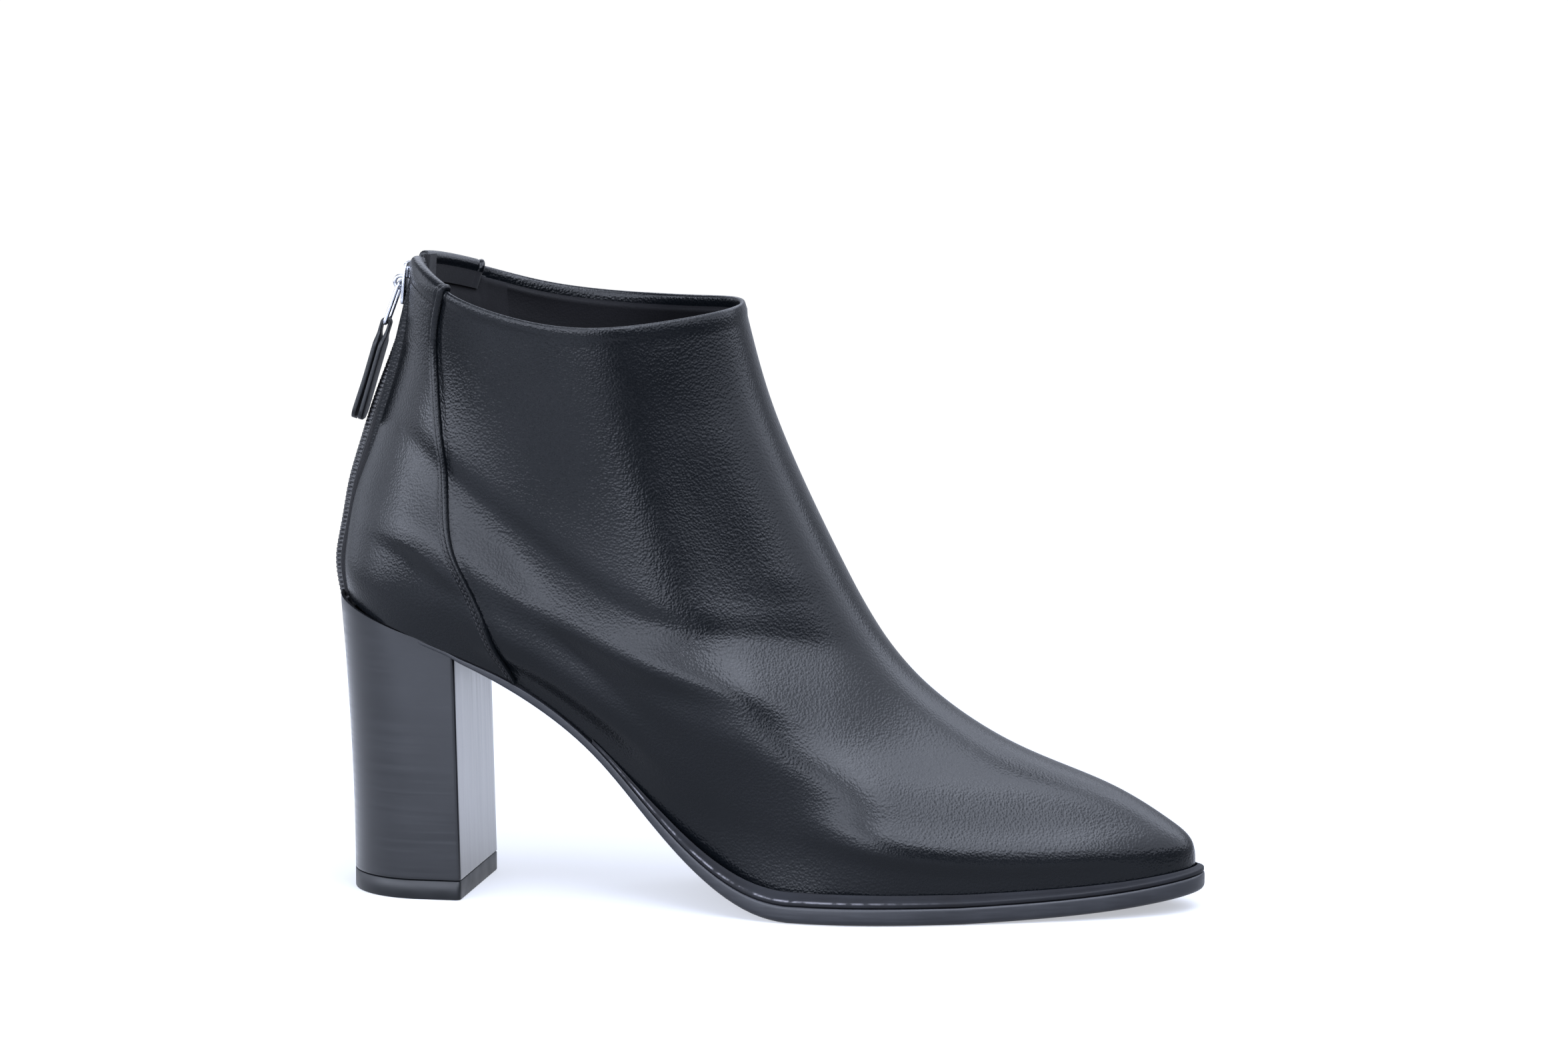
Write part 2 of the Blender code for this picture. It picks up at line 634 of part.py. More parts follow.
def centre_on_floor():
    # Moves the whole boot so that its box stands on the floor around the origin.
    bpy.context.view_layer.update()
    depsgraph = bpy.context.evaluated_depsgraph_get()
    low = np.full(3, np.inf)
    high = np.full(3, -np.inf)
    for piece in boot.objects:
        if piece.type == "EMPTY":
            continue
        shown = piece.evaluated_get(depsgraph)
        mesh = shown.to_mesh()
        spots = np.array([shown.matrix_world @ vert.co for vert in mesh.vertices])
        low = np.minimum(low, spots.min(axis=0))
        high = np.maximum(high, spots.max(axis=0))
        shown.to_mesh_clear()
    root.location = (-(low[0] + high[0]) / 2, -(low[1] + high[1]) / 2, 0.0)


for old in list(bpy.data.objects):
    bpy.data.objects.remove(old)
boot = bpy.data.collections.new("ankle_boot")
guides = bpy.data.collections.new("guides")
for collection in (boot, guides):
    bpy.context.scene.collection.children.link(collection)
root = bpy.data.objects.new("boot_origin", None)
boot.objects.link(root)

leather = make_material("black smooth leather", (0.018, 0.018, 0.021), 0.38)
panel_leather = make_material("black leather back panel", (0.019, 0.019, 0.022), 0.36)
lining_leather = make_material("black suede sock", (0.012, 0.012, 0.013), 0.85)
welt_leather = make_material("black welt leather", (0.030, 0.030, 0.033), 0.45)
sole_leather = make_material("black sole leather", (0.045, 0.045, 0.050), 0.50)
heel_stack = make_material("grey black stacked heel", (0.050, 0.050, 0.055), 0.52)
heel_rubber = make_material("black rubber top piece", (0.040, 0.040, 0.044), 0.60)
zip_black = make_material("black nylon zip", (0.010, 0.010, 0.011), 0.60)
silver = make_material("polished zinc", (0.75, 0.75, 0.77), 0.22, 1.0)

build_upper()
build_back_panel("back_panel_lateral", -1)
build_back_panel("back_panel_medial", 1)
build_sole()
build_insole()
build_welt()
build_heel()
cap = flat_curve("heel_cap", heel_section(0.0), HEEL_CAP, heel_rubber, root)
cap.location = (0.0, 0.0, HEEL_CAP / 2)
build_tape("zip_tape_lateral", -1)
build_tape("zip_tape_medial", 1)
build_coil()

spot, outward = zip_line(np.array([SLIDER_RISE]), 3 * GAP + COIL_THICK + SLIDER_PLATE + HINGE_OUT)
zip_lean = math.atan2(outward[0][2], -outward[0][0])
pull_axis = bpy.data.objects.new("pull_axis", None)
boot.objects.link(pull_axis)
pull_axis.parent = root
pull_axis.location = spot[0]
slider_frame = bpy.data.objects.new("slider_frame", None)
boot.objects.link(slider_frame)
slider_frame.parent = root
slider_frame.location = spot[0]
slider_frame.rotation_euler = (0.0, zip_lean, 0.0)
build_slider(slider_frame)
build_pull(pull_axis)
centre_on_floor()
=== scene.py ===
import json
import math

import bpy
import numpy as np
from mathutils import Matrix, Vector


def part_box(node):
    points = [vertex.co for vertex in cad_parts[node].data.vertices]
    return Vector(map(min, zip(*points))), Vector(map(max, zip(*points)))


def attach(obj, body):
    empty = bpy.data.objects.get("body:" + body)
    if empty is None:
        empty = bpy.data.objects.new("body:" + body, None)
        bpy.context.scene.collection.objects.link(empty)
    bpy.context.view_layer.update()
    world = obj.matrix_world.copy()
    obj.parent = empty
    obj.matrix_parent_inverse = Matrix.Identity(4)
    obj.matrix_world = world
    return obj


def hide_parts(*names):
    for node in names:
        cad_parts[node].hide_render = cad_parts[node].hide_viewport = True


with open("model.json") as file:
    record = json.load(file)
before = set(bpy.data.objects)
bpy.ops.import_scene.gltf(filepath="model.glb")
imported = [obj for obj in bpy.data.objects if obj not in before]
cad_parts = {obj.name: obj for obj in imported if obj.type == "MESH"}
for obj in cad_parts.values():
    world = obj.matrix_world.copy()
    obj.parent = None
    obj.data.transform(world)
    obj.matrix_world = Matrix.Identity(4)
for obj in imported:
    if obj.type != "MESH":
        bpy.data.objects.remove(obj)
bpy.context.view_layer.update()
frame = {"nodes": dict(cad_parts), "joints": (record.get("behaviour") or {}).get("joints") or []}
print("frame loaded:", ", ".join(sorted(frame["nodes"])))

# Shapes are worked out in millimetres on the last: x from heel to toe, y to the inner side, z up.
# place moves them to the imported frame, where the heel's cap gives the heel's foot.
mm = 0.001
heelFoot = 5.0  # the heel's back at the floor, in front of the last's zero
capLow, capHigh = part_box("heel_cap")
place = np.array([capLow.x - heelFoot * mm, (capLow.y + capHigh.y) / 2, 0.0])


def columns(names, *rows):
    # a short table: one array for each named column
    return dict(zip(names.split(), np.array(rows, float).T))


def smoothCurve(knots, values, at):
    # natural cubic: the second slope runs straight from knot to knot and is nothing at both ends
    knots, at = np.asarray(knots, float), np.asarray(at, float)
    values = np.asarray(values, float)
    values = values.reshape(values.shape + (1,) * (at.ndim + 1 - values.ndim))
    gaps = np.diff(knots)
    slopes = np.diff(values, axis=0) / gaps.reshape((-1,) + (1,) * at.ndim)
    system = np.diag(2 * (gaps[:-1] + gaps[1:])) + np.diag(gaps[1:-1], 1) + np.diag(gaps[1:-1], -1)
    bend = np.zeros(values.shape)
    rise = 6 * np.diff(slopes, axis=0)
    bend[1:-1] = np.linalg.solve(system, rise.reshape(len(knots) - 2, -1)).reshape(rise.shape)
    i = np.clip(np.searchsorted(knots, at) - 1, 0, len(knots) - 2)
    full = (len(knots),) + at.shape
    values, bend = np.broadcast_to(values, full), np.broadcast_to(bend, full)
    v0, v1 = (np.take_along_axis(values, (i + k)[None], 0)[0] for k in (0, 1))
    b0, b1 = (np.take_along_axis(bend, (i + k)[None], 0)[0] for k in (0, 1))
    gap, before, after = gaps[i], at - knots[i], knots[i + 1] - at
    cubic = (b0 * after ** 3 + b1 * before ** 3) / (6 * gap)
    return cubic + (v0 / gap - b0 * gap / 6) * after + (v1 / gap - b1 * gap / 6) * before


def mixed(a, b, share):
    # a at share 0, b at share 1, straight between them
    return a + (b - a) * share


def easy(low, high, x):
    # 0 below low, 1 above high, with a soft start and stop between them
    t = np.clip((x - low) / (high - low), 0, 1)
    return t * t * (3 - 2 * t)


def swell(x, form):
    # a bell with a height, a middle and a width
    high, middle, wide = form
    return high * np.exp(-((x - middle) / wide) ** 2)


def rounded(distance, radius, least):
    # a quarter circle: from about nothing at the edge to 1 at one radius from it
    return np.sqrt(np.maximum(1 - (1 - np.clip(distance / radius, 0, 1)) ** 2, least))


def squared(wave, power):
    # a sine or cosine pushed towards a square: its sign times its size to a small power
    return np.sign(wave) * np.abs(wave) ** power


def unit(v):
    # the same direction with length 1
    return v / np.maximum(np.linalg.norm(v, axis=-1, keepdims=True), 1e-9)


def runOf(points):
    # distance of each row from the first one, summed from step to step
    steps = np.linalg.norm(np.diff(points, axis=0), axis=-1)
    return np.concatenate([0 * steps[:1], np.cumsum(steps, axis=0)])


def circle(count):
    # angles evenly round a full turn
    return np.linspace(0, 2 * math.pi, count, endpoint=False)


# The last and the sole, as in the part's solids
ring = columns(
    "rise backX backZ frontX frontZ backR heel waist arch ball toe frontR seam",
    (0.0, 4.4, 85.0, 245.2, 10.6, 23, 24.5, 23.0, 33.0, 36.0, 19.5, 9.0, 0.220),
    (0.1, 3.3, 93.0, 244.4, 18.8, 23, 25.6, 26.5, 35.0, 36.6, 19.6, 9.0, 0.203),
    (0.2, 3.8, 100.0, 237.2, 25.4, 21, 25.8, 29.0, 36.0, 36.0, 18.5, 8.5, 0.193),
    (0.3, 5.0, 108.0, 220.3, 34.9, 17, 24.6, 30.0, 35.5, 34.5, 18.0, 9.0, 0.183),
    (0.4, 6.9, 116.5, 194.6, 45.0, 13, 22.6, 30.2, 34.5, 32.5, 18.0, 11.0, 0.177),
    (0.5, 10.4, 126.5, 169.5, 61.2, 10, 20.2, 29.8, 33.3, 31.0, 18.0, 14.0, 0.173),
    (0.6, 13.9, 137.0, 153.8, 79.8, 9, 18.4, 29.4, 32.6, 30.0, 18.0, 17.0, 0.163),
    (0.7, 17.4, 147.5, 142.8, 99.7, 10, 17.4, 29.2, 32.4, 29.7, 18.0, 20.0, 0.140),
    (0.8, 20.2, 157.5, 132.8, 120.2, 13, 17.2, 29.4, 32.8, 29.8, 18.2, 22.0, 0.120),
    (0.9, 21.8, 168.0, 123.5, 143.2, 17, 17.6, 29.8, 33.6, 30.4, 18.6, 24.0, 0.115),
    (1.0, 22.9, 180.3, 116.4, 169.4, 20, 18.6, 30.6, 34.4, 31.0, 19.0, 26.0, 0.142),
)
posts = {"heel": 0.08, "waist": 0.30, "arch": 0.50, "ball": 0.70, "toe": 0.90}
collarDip = columns(
    "along drop",
    (0.00, 0.0), (0.12, 4.0), (0.30, 7.6), (0.55, 8.2), (0.80, 4.6), (1.00, 0.0),
)
sole = columns(
    "x tread thick ledge",
    (0, 83.4, 1.2, 0.9), (22, 75.3, 1.2, 0.9), (41, 68.2, 1.4, 0.9), (56, 60.0, 2.6, 0.7),
    (68, 51.6, 2.9, 0.6), (80, 41.0, 3.1, 0.9), (92, 28.2, 3.5, 2.2), (104, 16.2, 4.0, 3.4),
    (116, 7.0, 4.5, 4.0), (128, 1.4, 4.9, 4.2), (142, -0.3, 5.0, 4.2), (182, -0.1, 5.0, 4.2),
    (205, 0.8, 5.0, 4.0), (228, 2.6, 5.0, 3.4), (248, 5.4, 5.0, 2.6),
)
lastSize = {
    "length": 248.0, "upperSeat": 0.6, "toeSweep": 4.5, "sweepStart": 120.0,
    "innerWaist": 0.17, "waistSpread": 0.14, "innerCollar": 1.3,
    "ballSkew": 0.7, "ballMiddle": 0.66, "ballSpread": 0.16, "soleFade": 1.35, "collarFade": 3,
}


def soleAt(name, x):
    # one measure of the sole, as a smooth curve along it
    return smoothCurve(sole["x"], sole[name], x)


def tread(x):
    # underside of the sole, never below the floor
    return np.maximum(0, soleAt("tread", x))


def soleTop(x):
    # the tread plus the thickness
    return tread(x) + soleAt("thick", x)


def ringAt(name, rise):
    # one measure of the rings, as a smooth curve up the boot
    return smoothCurve(ring["rise"], ring[name], rise)


def skin(rise, turn, side):
    # Outer face of the upper. rise is 0 at the sole and 1 at the collar, turn 0 at the back and pi
    # at the ridge, side -1 outside and 1 inside. Each ring runs straight from its back point to its
    # ridge point, bent by the sole's path and the collar's dip, and its half width is an oval whose
    # size is a smooth curve through the posts, times the sine of the turn.
    size = lastSize
    row = {name: ringAt(name, rise) for name in ring if name not in ("rise", "seam")}
    along = (1 - np.cos(turn)) / 2
    x = mixed(row["backX"], row["frontX"], along)
    footX = mixed(ring["backX"][0], ring["frontX"][0], along)
    footChord = mixed(ring["backZ"][0], ring["frontZ"][0], along)
    footPath = soleTop(footX) + size["upperSeat"] - footChord
    collarPath = -smoothCurve(collarDip["along"], collarDip["drop"], along)
    collarPath = collarPath + size["innerCollar"] * np.sin(turn) * (side > 0)
    z = mixed(row["backZ"], row["frontZ"], along)
    z = z + footPath * np.clip(1 - rise, 0, 1) ** size["soleFade"]
    z = z + collarPath * np.clip(rise, 0, None) ** size["collarFade"]
    length = row["frontX"] - row["backX"]
    ovals = [np.sqrt(row["backR"] * length / 2)]
    ovals += [row[name] / (2 * math.sqrt(p * (1 - p))) for name, p in posts.items()]
    ovals += [np.sqrt(row["frontR"] * length / 2)]
    half = smoothCurve([0, *posts.values(), 1], np.stack(ovals), along)
    hollow = swell(along, (size["innerWaist"], posts["waist"], size["waistSpread"])) * (side > 0)
    half = half * (1 - hollow * (1 - rise) ** 2)
    skew = swell(along, (size["ballSkew"], size["ballMiddle"], size["ballSpread"]))
    half = half * (1 + side * skew * (along - size["ballMiddle"]) * (1 - rise))
    reach = np.maximum(0, x - size["sweepStart"]) / (size["length"] - size["sweepStart"])
    return np.stack([x, side * half * np.sin(turn) + size["toeSweep"] * reach ** 2, z], axis=-1)


def gridNormal(points):
    # unit normal of a grid: along its columns crossed with along its rows
    return unit(np.cross(np.gradient(points, axis=1), np.gradient(points, axis=0)))


def slitTurn(rise, y):
    # turn at which the ring, an oval near the back, is y away from its middle
    half = np.sqrt(ringAt("backR", rise) * (ringAt("frontX", rise) - ringAt("backX", rise)) / 2)
    return np.arcsin(np.clip(y / half, -1, 1))


def seamTurn(rise):
    # turn of the back panel's seam, from its share of the ring's length
    return np.arccos(1 - 2 * ringAt("seam", rise))


# Meshes

def meshOf(name, points, faces, materials):
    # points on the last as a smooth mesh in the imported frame
    mesh = bpy.data.meshes.new(name)
    mesh.from_pydata((points * mm + place).tolist(), [], faces)
    mesh.shade_smooth()
    for coat in materials:
        mesh.materials.append(coat)
    return mesh


def putInScene(name, data):
    # a new object in the scene's own collection
    thing = bpy.data.objects.new(name, data)
    bpy.context.scene.collection.objects.link(thing)
    return thing


def seat(mesh, stands=(), body="boot"):
    # a finished mesh as a piece that rides on a body and stands for its solids
    piece = putInScene(mesh.name, mesh)
    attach(piece, body)
    if stands:
        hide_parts(*stands)
    return piece


def solid(name, loops, materials, stands=(), body="boot",
          caps="strip", offset=None, sharp=50, facing=None):
    # Closed loops of points (levels, count, 3) joined level to level. Strip caps join point i of an
    # end loop to point offset - i, fan caps join an end loop to its middle, and without caps the last
    # loop joins the first. The faces are turned outwards by the sign of the enclosed volume. facing
    # gives each level or loop point one of the materials.
    levels, count = loops.shape[:2]
    points = loops.reshape(-1, 3)
    i = np.arange(count)
    j = (i + 1) % count
    low = np.arange(levels - 1)[:, None] * count
    quads = np.stack([low + i, low + j, low + count + j, low + count + i], -1).reshape(-1, 4)
    top = (levels - 1) * count
    ends = []
    if caps == "strip":
        offset = count if offset is None else offset
        half = np.arange((offset + 1) // 2)
        cap = np.stack([half, half + 1, offset - half - 1, offset - half], -1) % count
        cap = [list(dict.fromkeys(face)) for face in cap.tolist()]
        cap = [face for face in cap if len(face) > 2]
        ends = [face[::-1] for face in cap] + [[top + k for k in face] for face in cap]
    elif caps == "fan":
        points = np.vstack([points, loops[0].mean(0), loops[-1].mean(0)])
        first = np.stack([j, i, np.full(count, len(points) - 2)], -1)
        last = np.stack([top + i, top + j, np.full(count, len(points) - 1)], -1)
        ends = np.vstack([first, last]).tolist()
    else:
        quads = np.vstack([quads, np.stack([top + i, top + j, j, i], -1)])
    a, b, c, d = (points[quads[:, k]] for k in range(4))
    volume = np.einsum("ij,ij->", a, np.cross(b, c)) + np.einsum("ij,ij->", a, np.cross(c, d))
    faces = quads.tolist() + ends
    if volume < 0:
        faces = [face[::-1] for face in faces]
    mesh = meshOf(name, points, faces, materials)
    mesh.set_sharp_from_angle(angle=math.radians(sharp))
    if facing is not None:
        index = np.zeros(len(faces), np.int32)
        index[:(levels - 1) * count] = np.broadcast_to(facing, (levels - 1, count)).ravel()
        mesh.polygons.foreach_set("material_index", index)
    return seat(mesh, stands, body)


def tube(path, radius, flat, sides=12, closed=False):
    # round wire along a path that lies in one plane: flat is that plane's normal
    path, flat = np.asarray(path, float), np.asarray(flat, float)
    ahead = np.roll(path, -1, 0) - np.roll(path, 1, 0) if closed else np.gradient(path, axis=0)
    across = unit(np.cross(unit(ahead), flat))
    angle = circle(sides)[:, None]
    return path[:, None] + radius * (np.cos(angle) * across[:, None] + np.sin(angle) * flat)


def roundBlock(centre, sizes, axes, power, steps=36):
    # superellipsoid: sine and cosine of two angles, pushed towards squares, give a block with soft edges
    tilt = np.linspace(-0.5 * math.pi, 0.5 * math.pi, steps // 2 + 1)[1:-1, None]
    around = circle(steps)[None]
    level = squared(np.cos(tilt), power)
    parts = [level * squared(np.cos(around), power), level * squared(np.sin(around), power)]
    parts += [squared(np.sin(tilt), power) + 0 * around]
    return np.asarray(centre) + np.stack(parts, -1) * np.asarray(sizes) / 2 @ np.asarray(axes)


# Finishes

def ink(code):
    # an sRGB hex colour as linear light
    part = np.array([int(code[k:k + 2], 16) for k in (1, 3, 5)]) / 255
    light = np.where(part <= 0.04045, part / 12.92, ((part + 0.055) / 1.055) ** 2.4)
    return (*light, 1.0)


def feed(tree, node, inputs):
    # inputs by name, or in the node's own order: a socket is linked and a value is set
    for key, value in inputs.items() if isinstance(inputs, dict) else enumerate(inputs):
        if isinstance(value, bpy.types.NodeSocket):
            tree.links.new(value, node.inputs[key])
        else:
            node.inputs[key].default_value = value


def addNode(tree, kind, output, inputs=(), **settings):
    # a node with its settings and inputs, and the output that is wanted from it
    node = tree.nodes.new("ShaderNode" + kind)
    for key, value in settings.items():
        setattr(node, key, value)
    feed(tree, node, inputs)
    return node.outputs[output]


def finish(name, surface, *tones, **look):
    # A new material, named for the real one. Its surface gives the shader's inputs, and a mask for each
    # tone after the first, which is laid over the tones before it.
    material = bpy.data.materials.new(name)
    material.use_nodes = True
    tree = material.node_tree
    inputs, *masks = surface(tree, **look)
    colour = ink(tones[0])
    for mask, tone in zip(masks, tones[1:]):
        layer = {"Factor": mask, "A": colour, "B": ink(tone)}
        colour = addNode(tree, "Mix", "Result", layer, data_type="RGBA")
    feed(tree, tree.nodes["Principled BSDF"], {"Base Color": colour, **inputs})
    return material


def perMm(size):
    # texture scale for a pattern whose repeat is size millimetres
    return 1 / (size * mm)


def leather(tree, ior, grain, strength, slack, rough):
    # Leather with a pigment finish: near black with a cool cast, a soft sheen, a pebble grain of cells
    # between fine valleys, and slow changes of gloss from handling.
    spot = addNode(tree, "TexCoord", "Object")
    cloud, pores, waves = (
        addNode(tree, "TexNoise", "Fac", {"Vector": spot, "Scale": perMm(size), "Detail": detail})
        for size, detail in ((26, 3.0), (0.35, 2.0), (14, 0.0)))
    warp = addNode(tree, "TexNoise", "Color", {"Vector": spot, "Scale": perMm(2.2), "Detail": 2.0})
    bent = addNode(tree, "VectorMath", "Vector", (warp, (0.9 * grain * mm,) * 3), operation="MULTIPLY")
    bent = addNode(tree, "VectorMath", "Vector", (spot, bent), operation="ADD")
    cells = addNode(tree, "TexVoronoi", "Distance",
                    {"Vector": bent, "Scale": perMm(grain), "Smoothness": 0.35}, feature="SMOOTH_F1")
    bump = addNode(tree, "Bump", "Normal", {"Height": waves, "Strength": 0.5, "Distance": slack * mm})
    bump = addNode(tree, "Bump", "Normal",
                   {"Height": pores, "Strength": 0.25, "Distance": 0.02 * mm, "Normal": bump})
    pebbles = {"Height": cells, "Strength": strength, "Distance": 0.09 * mm, "Normal": bump}
    bump = addNode(tree, "Bump", "Normal", pebbles, invert=True)
    valley = addNode(tree, "MapRange", "Result", (cells, 0.15, 0.75, 0.0, 0.08))
    gloss = addNode(tree, "MapRange", "Result", (cloud, 0.3, 0.7, rough - 0.04, rough + 0.04))
    gloss = addNode(tree, "Math", "Value", (gloss, valley), operation="ADD")
    return {"IOR": ior, "Roughness": gloss, "Normal": bump}, cloud


def suede(tree, sheen):
    # Suede: the split side of the leather, a matt nap that lies in soft lighter and darker patches
    spot = addNode(tree, "TexCoord", "Object")
    brushed = addNode(tree, "TexNoise", "Fac",
                      {"Vector": spot, "Scale": perMm(7), "Detail": 4.0, "Roughness": 0.7})
    fibre = addNode(tree, "TexNoise", "Fac", {"Vector": spot, "Scale": perMm(0.5), "Detail": 3.0})
    bump = addNode(tree, "Bump", "Normal", {"Height": fibre, "Strength": 0.6, "Distance": 0.15 * mm})
    sheens = {"Sheen Weight": sheen, "Sheen Roughness": 0.5}
    return {"IOR": 1.2, "Roughness": 0.92, "Normal": bump, **sheens}, brushed


def waxedEdge(tree, ior, rough, line, stretch, depth, rubbed=False):
    # Leather edge that is cut, dyed black and ironed with wax: satin, with fine lines along it. On a
    # rubbed one the dye is worn where the edge attribute is high, and a paler, drier leather shows.
    spot = addNode(tree, "TexCoord", "Object")
    stretched = addNode(tree, "Mapping", "Vector", {"Vector": spot, "Scale": stretch})
    lines = addNode(tree, "TexNoise", "Fac",
                    {"Vector": stretched, "Scale": perMm(line), "Detail": 4.0, "Roughness": 0.6})
    cloud = addNode(tree, "TexNoise", "Fac", {"Vector": spot, "Scale": perMm(14), "Detail": 3.0})
    both = addNode(tree, "Math", "Value", (lines, cloud), operation="MULTIPLY")
    both = addNode(tree, "MapRange", "Result", (both, 0.12, 0.4, 0.0, 1.0))
    masks = [both]
    if rubbed:
        edge = addNode(tree, "Attribute", "Fac", attribute_name="edge")
        broken = addNode(tree, "TexNoise", "Fac", {"Vector": spot, "Scale": perMm(2.5), "Detail": 4.0})
        broken = addNode(tree, "MapRange", "Result", (broken, 0.42, 0.6, 0.0, 1.0))
        masks.append(addNode(tree, "Math", "Value", (edge, broken), operation="MULTIPLY"))
    gloss = addNode(tree, "MapRange", "Result", (lines, 0.3, 0.7, rough - 0.06, rough + 0.06))
    bump = addNode(tree, "Bump", "Normal", {"Height": lines, "Strength": 0.4, "Distance": depth * mm})
    return {"IOR": ior, "Roughness": gloss, "Normal": bump}, *masks


tapeUnit = 100.0  # millimetres of zip tape in one unit of its UV map
waveSpan = 2 * math.pi / 20  # repeat of Blender's wave texture at scale 1


def weave(tree, warp, weft):
    # Woven polyester tape: ribs of warp threads crossed by weft, matt, with a faint lustre on each rib.
    # warp and weft are the threads' spacing in millimetres.
    lie = addNode(tree, "UVMap", "UV", uv_map="tape")
    threads = []
    for way, spacing in (("X", warp), ("Y", weft)):
        wave = {"Vector": lie, "Scale": waveSpan * tapeUnit / spacing, "Distortion": 0.3}
        threads.append(addNode(tree, "TexWave", "Fac", wave, bands_direction=way))
    cloth = addNode(tree, "Math", "Value", threads, operation="MULTIPLY")
    bump = addNode(tree, "Bump", "Normal", {"Height": cloth, "Strength": 0.7, "Distance": 0.12 * mm})
    sheens = {"Sheen Weight": 0.05, "Sheen Roughness": 0.4}
    return {"IOR": 1.3, "Roughness": 0.8, "Normal": bump, **sheens}, cloth


def moulded(tree, rough, mottle, pores, depth, **sockets):
    # Moulded or cast pieces: even colour with a faint mottle, gloss broken by a fine skin or by handling
    spot = addNode(tree, "TexCoord", "Object")
    cloud = addNode(tree, "TexNoise", "Fac", {"Vector": spot, "Scale": perMm(mottle), "Detail": 3.0})
    pitted = addNode(tree, "TexNoise", "Fac", {"Vector": spot, "Scale": perMm(pores), "Detail": 2.0})
    gloss = addNode(tree, "MapRange", "Result", (cloud, 0.3, 0.7, rough - 0.05, rough + 0.05))
    bump = addNode(tree, "Bump", "Normal", {"Height": pitted, "Strength": 0.3, "Distance": depth * mm})
    return {"Roughness": gloss, "Normal": bump, **sockets}, cloud


def litFloor(tree):
    # Pale painted board, matt, that glows a little so that it reads as a lit studio floor
    return ({"Roughness": 0.9, "Emission Color": ink("#f4f6fc"), "Emission Strength": 0.5},)


# each finish has a dark and a light tone, and the welt's a third where it is rubbed; grain, slack, line,
# mottle, pores and depth are in millimetres
upperLeather = finish("black calf leather", leather, "#020304", "#040507",
                      ior=1.24, grain=0.72, strength=0.8, slack=0.1, rough=0.205)
panelLeather = finish("black calf leather of the back panel", leather, "#030405", "#050608",
                      ior=1.24, grain=0.7, strength=0.7, slack=0.12, rough=0.205)
liningLeather = finish("black goat lining leather", leather, "#040405", "#08080a",
                       ior=1.14, grain=0.6, strength=0.4, slack=0.25, rough=0.52)
tabLeather = finish("black leather of the zip pull", leather, "#08090b", "#0e0f11",
                    ior=1.3, grain=0.7, strength=0.4, slack=0.1, rough=0.48)
heelSuede = finish("black suede heel lining", suede, "#050506", "#0b0b0d", sheen=0.03)
sockSuede = finish("black suede sock", suede, "#0c0c0e", "#141417", sheen=0.1)
weltLeather = finish("black dyed welt leather", waxedEdge, "#08080a", "#0f1013", "#5c5b5f", rubbed=True,
                     ior=1.2, rough=0.6, line=1.2, stretch=(0.08, 0.08, 1.0), depth=0.04)
soleLeather = finish("black dyed sole leather", waxedEdge, "#0d0e11", "#16171a",
                     ior=1.32, rough=0.45, line=0.7, stretch=(0.06, 0.06, 1.0), depth=0.05)
heelStack = finish("stacked leather heel stained black", waxedEdge, "#0a0b0d", "#0f1012",
                   ior=1.39, rough=0.2, line=1.1, stretch=(0.03, 0.03, 1.0), depth=0.012)
# the heel's front face: the stack's leather with lighter tones and a far stronger reflection, a painted
# highlight where light falls on the breast
heelBreastPaintedHighlight = finish("stacked leather heel, breast with painted highlight", waxedEdge, "#121317", "#202126",
                    ior=2.6, rough=0.2, line=3.0, stretch=(1.0, 1.0, 0.06), depth=0.006)
heelRubber = finish("black rubber top piece", moulded, "#08090a", "#0c0d0f",
                    rough=0.4, mottle=6, pores=0.4, depth=0.02, IOR=1.28)
tapeWeave = finish("black polyester zip tape", weave, "#050506", "#0f0f12", warp=0.349, weft=0.196)
coilNylon = finish("black nylon zip coil", moulded, "#060608", "#0b0b0d",
                   rough=0.4, mottle=4, pores=0.3, depth=0.01, IOR=1.4)
zipSilver = finish("nickel plated zinc", moulded, "#8e9096", "#a9abb1",
                   rough=0.22, mottle=5, pores=0.5, depth=0.01, Metallic=1.0)
sewThread = finish("black polyester thread", moulded, "#050507", "#0a0a0c",
                   rough=0.6, mottle=3, pores=0.2, depth=0.05, IOR=1.35)
print("finishes made:", len(bpy.data.materials))
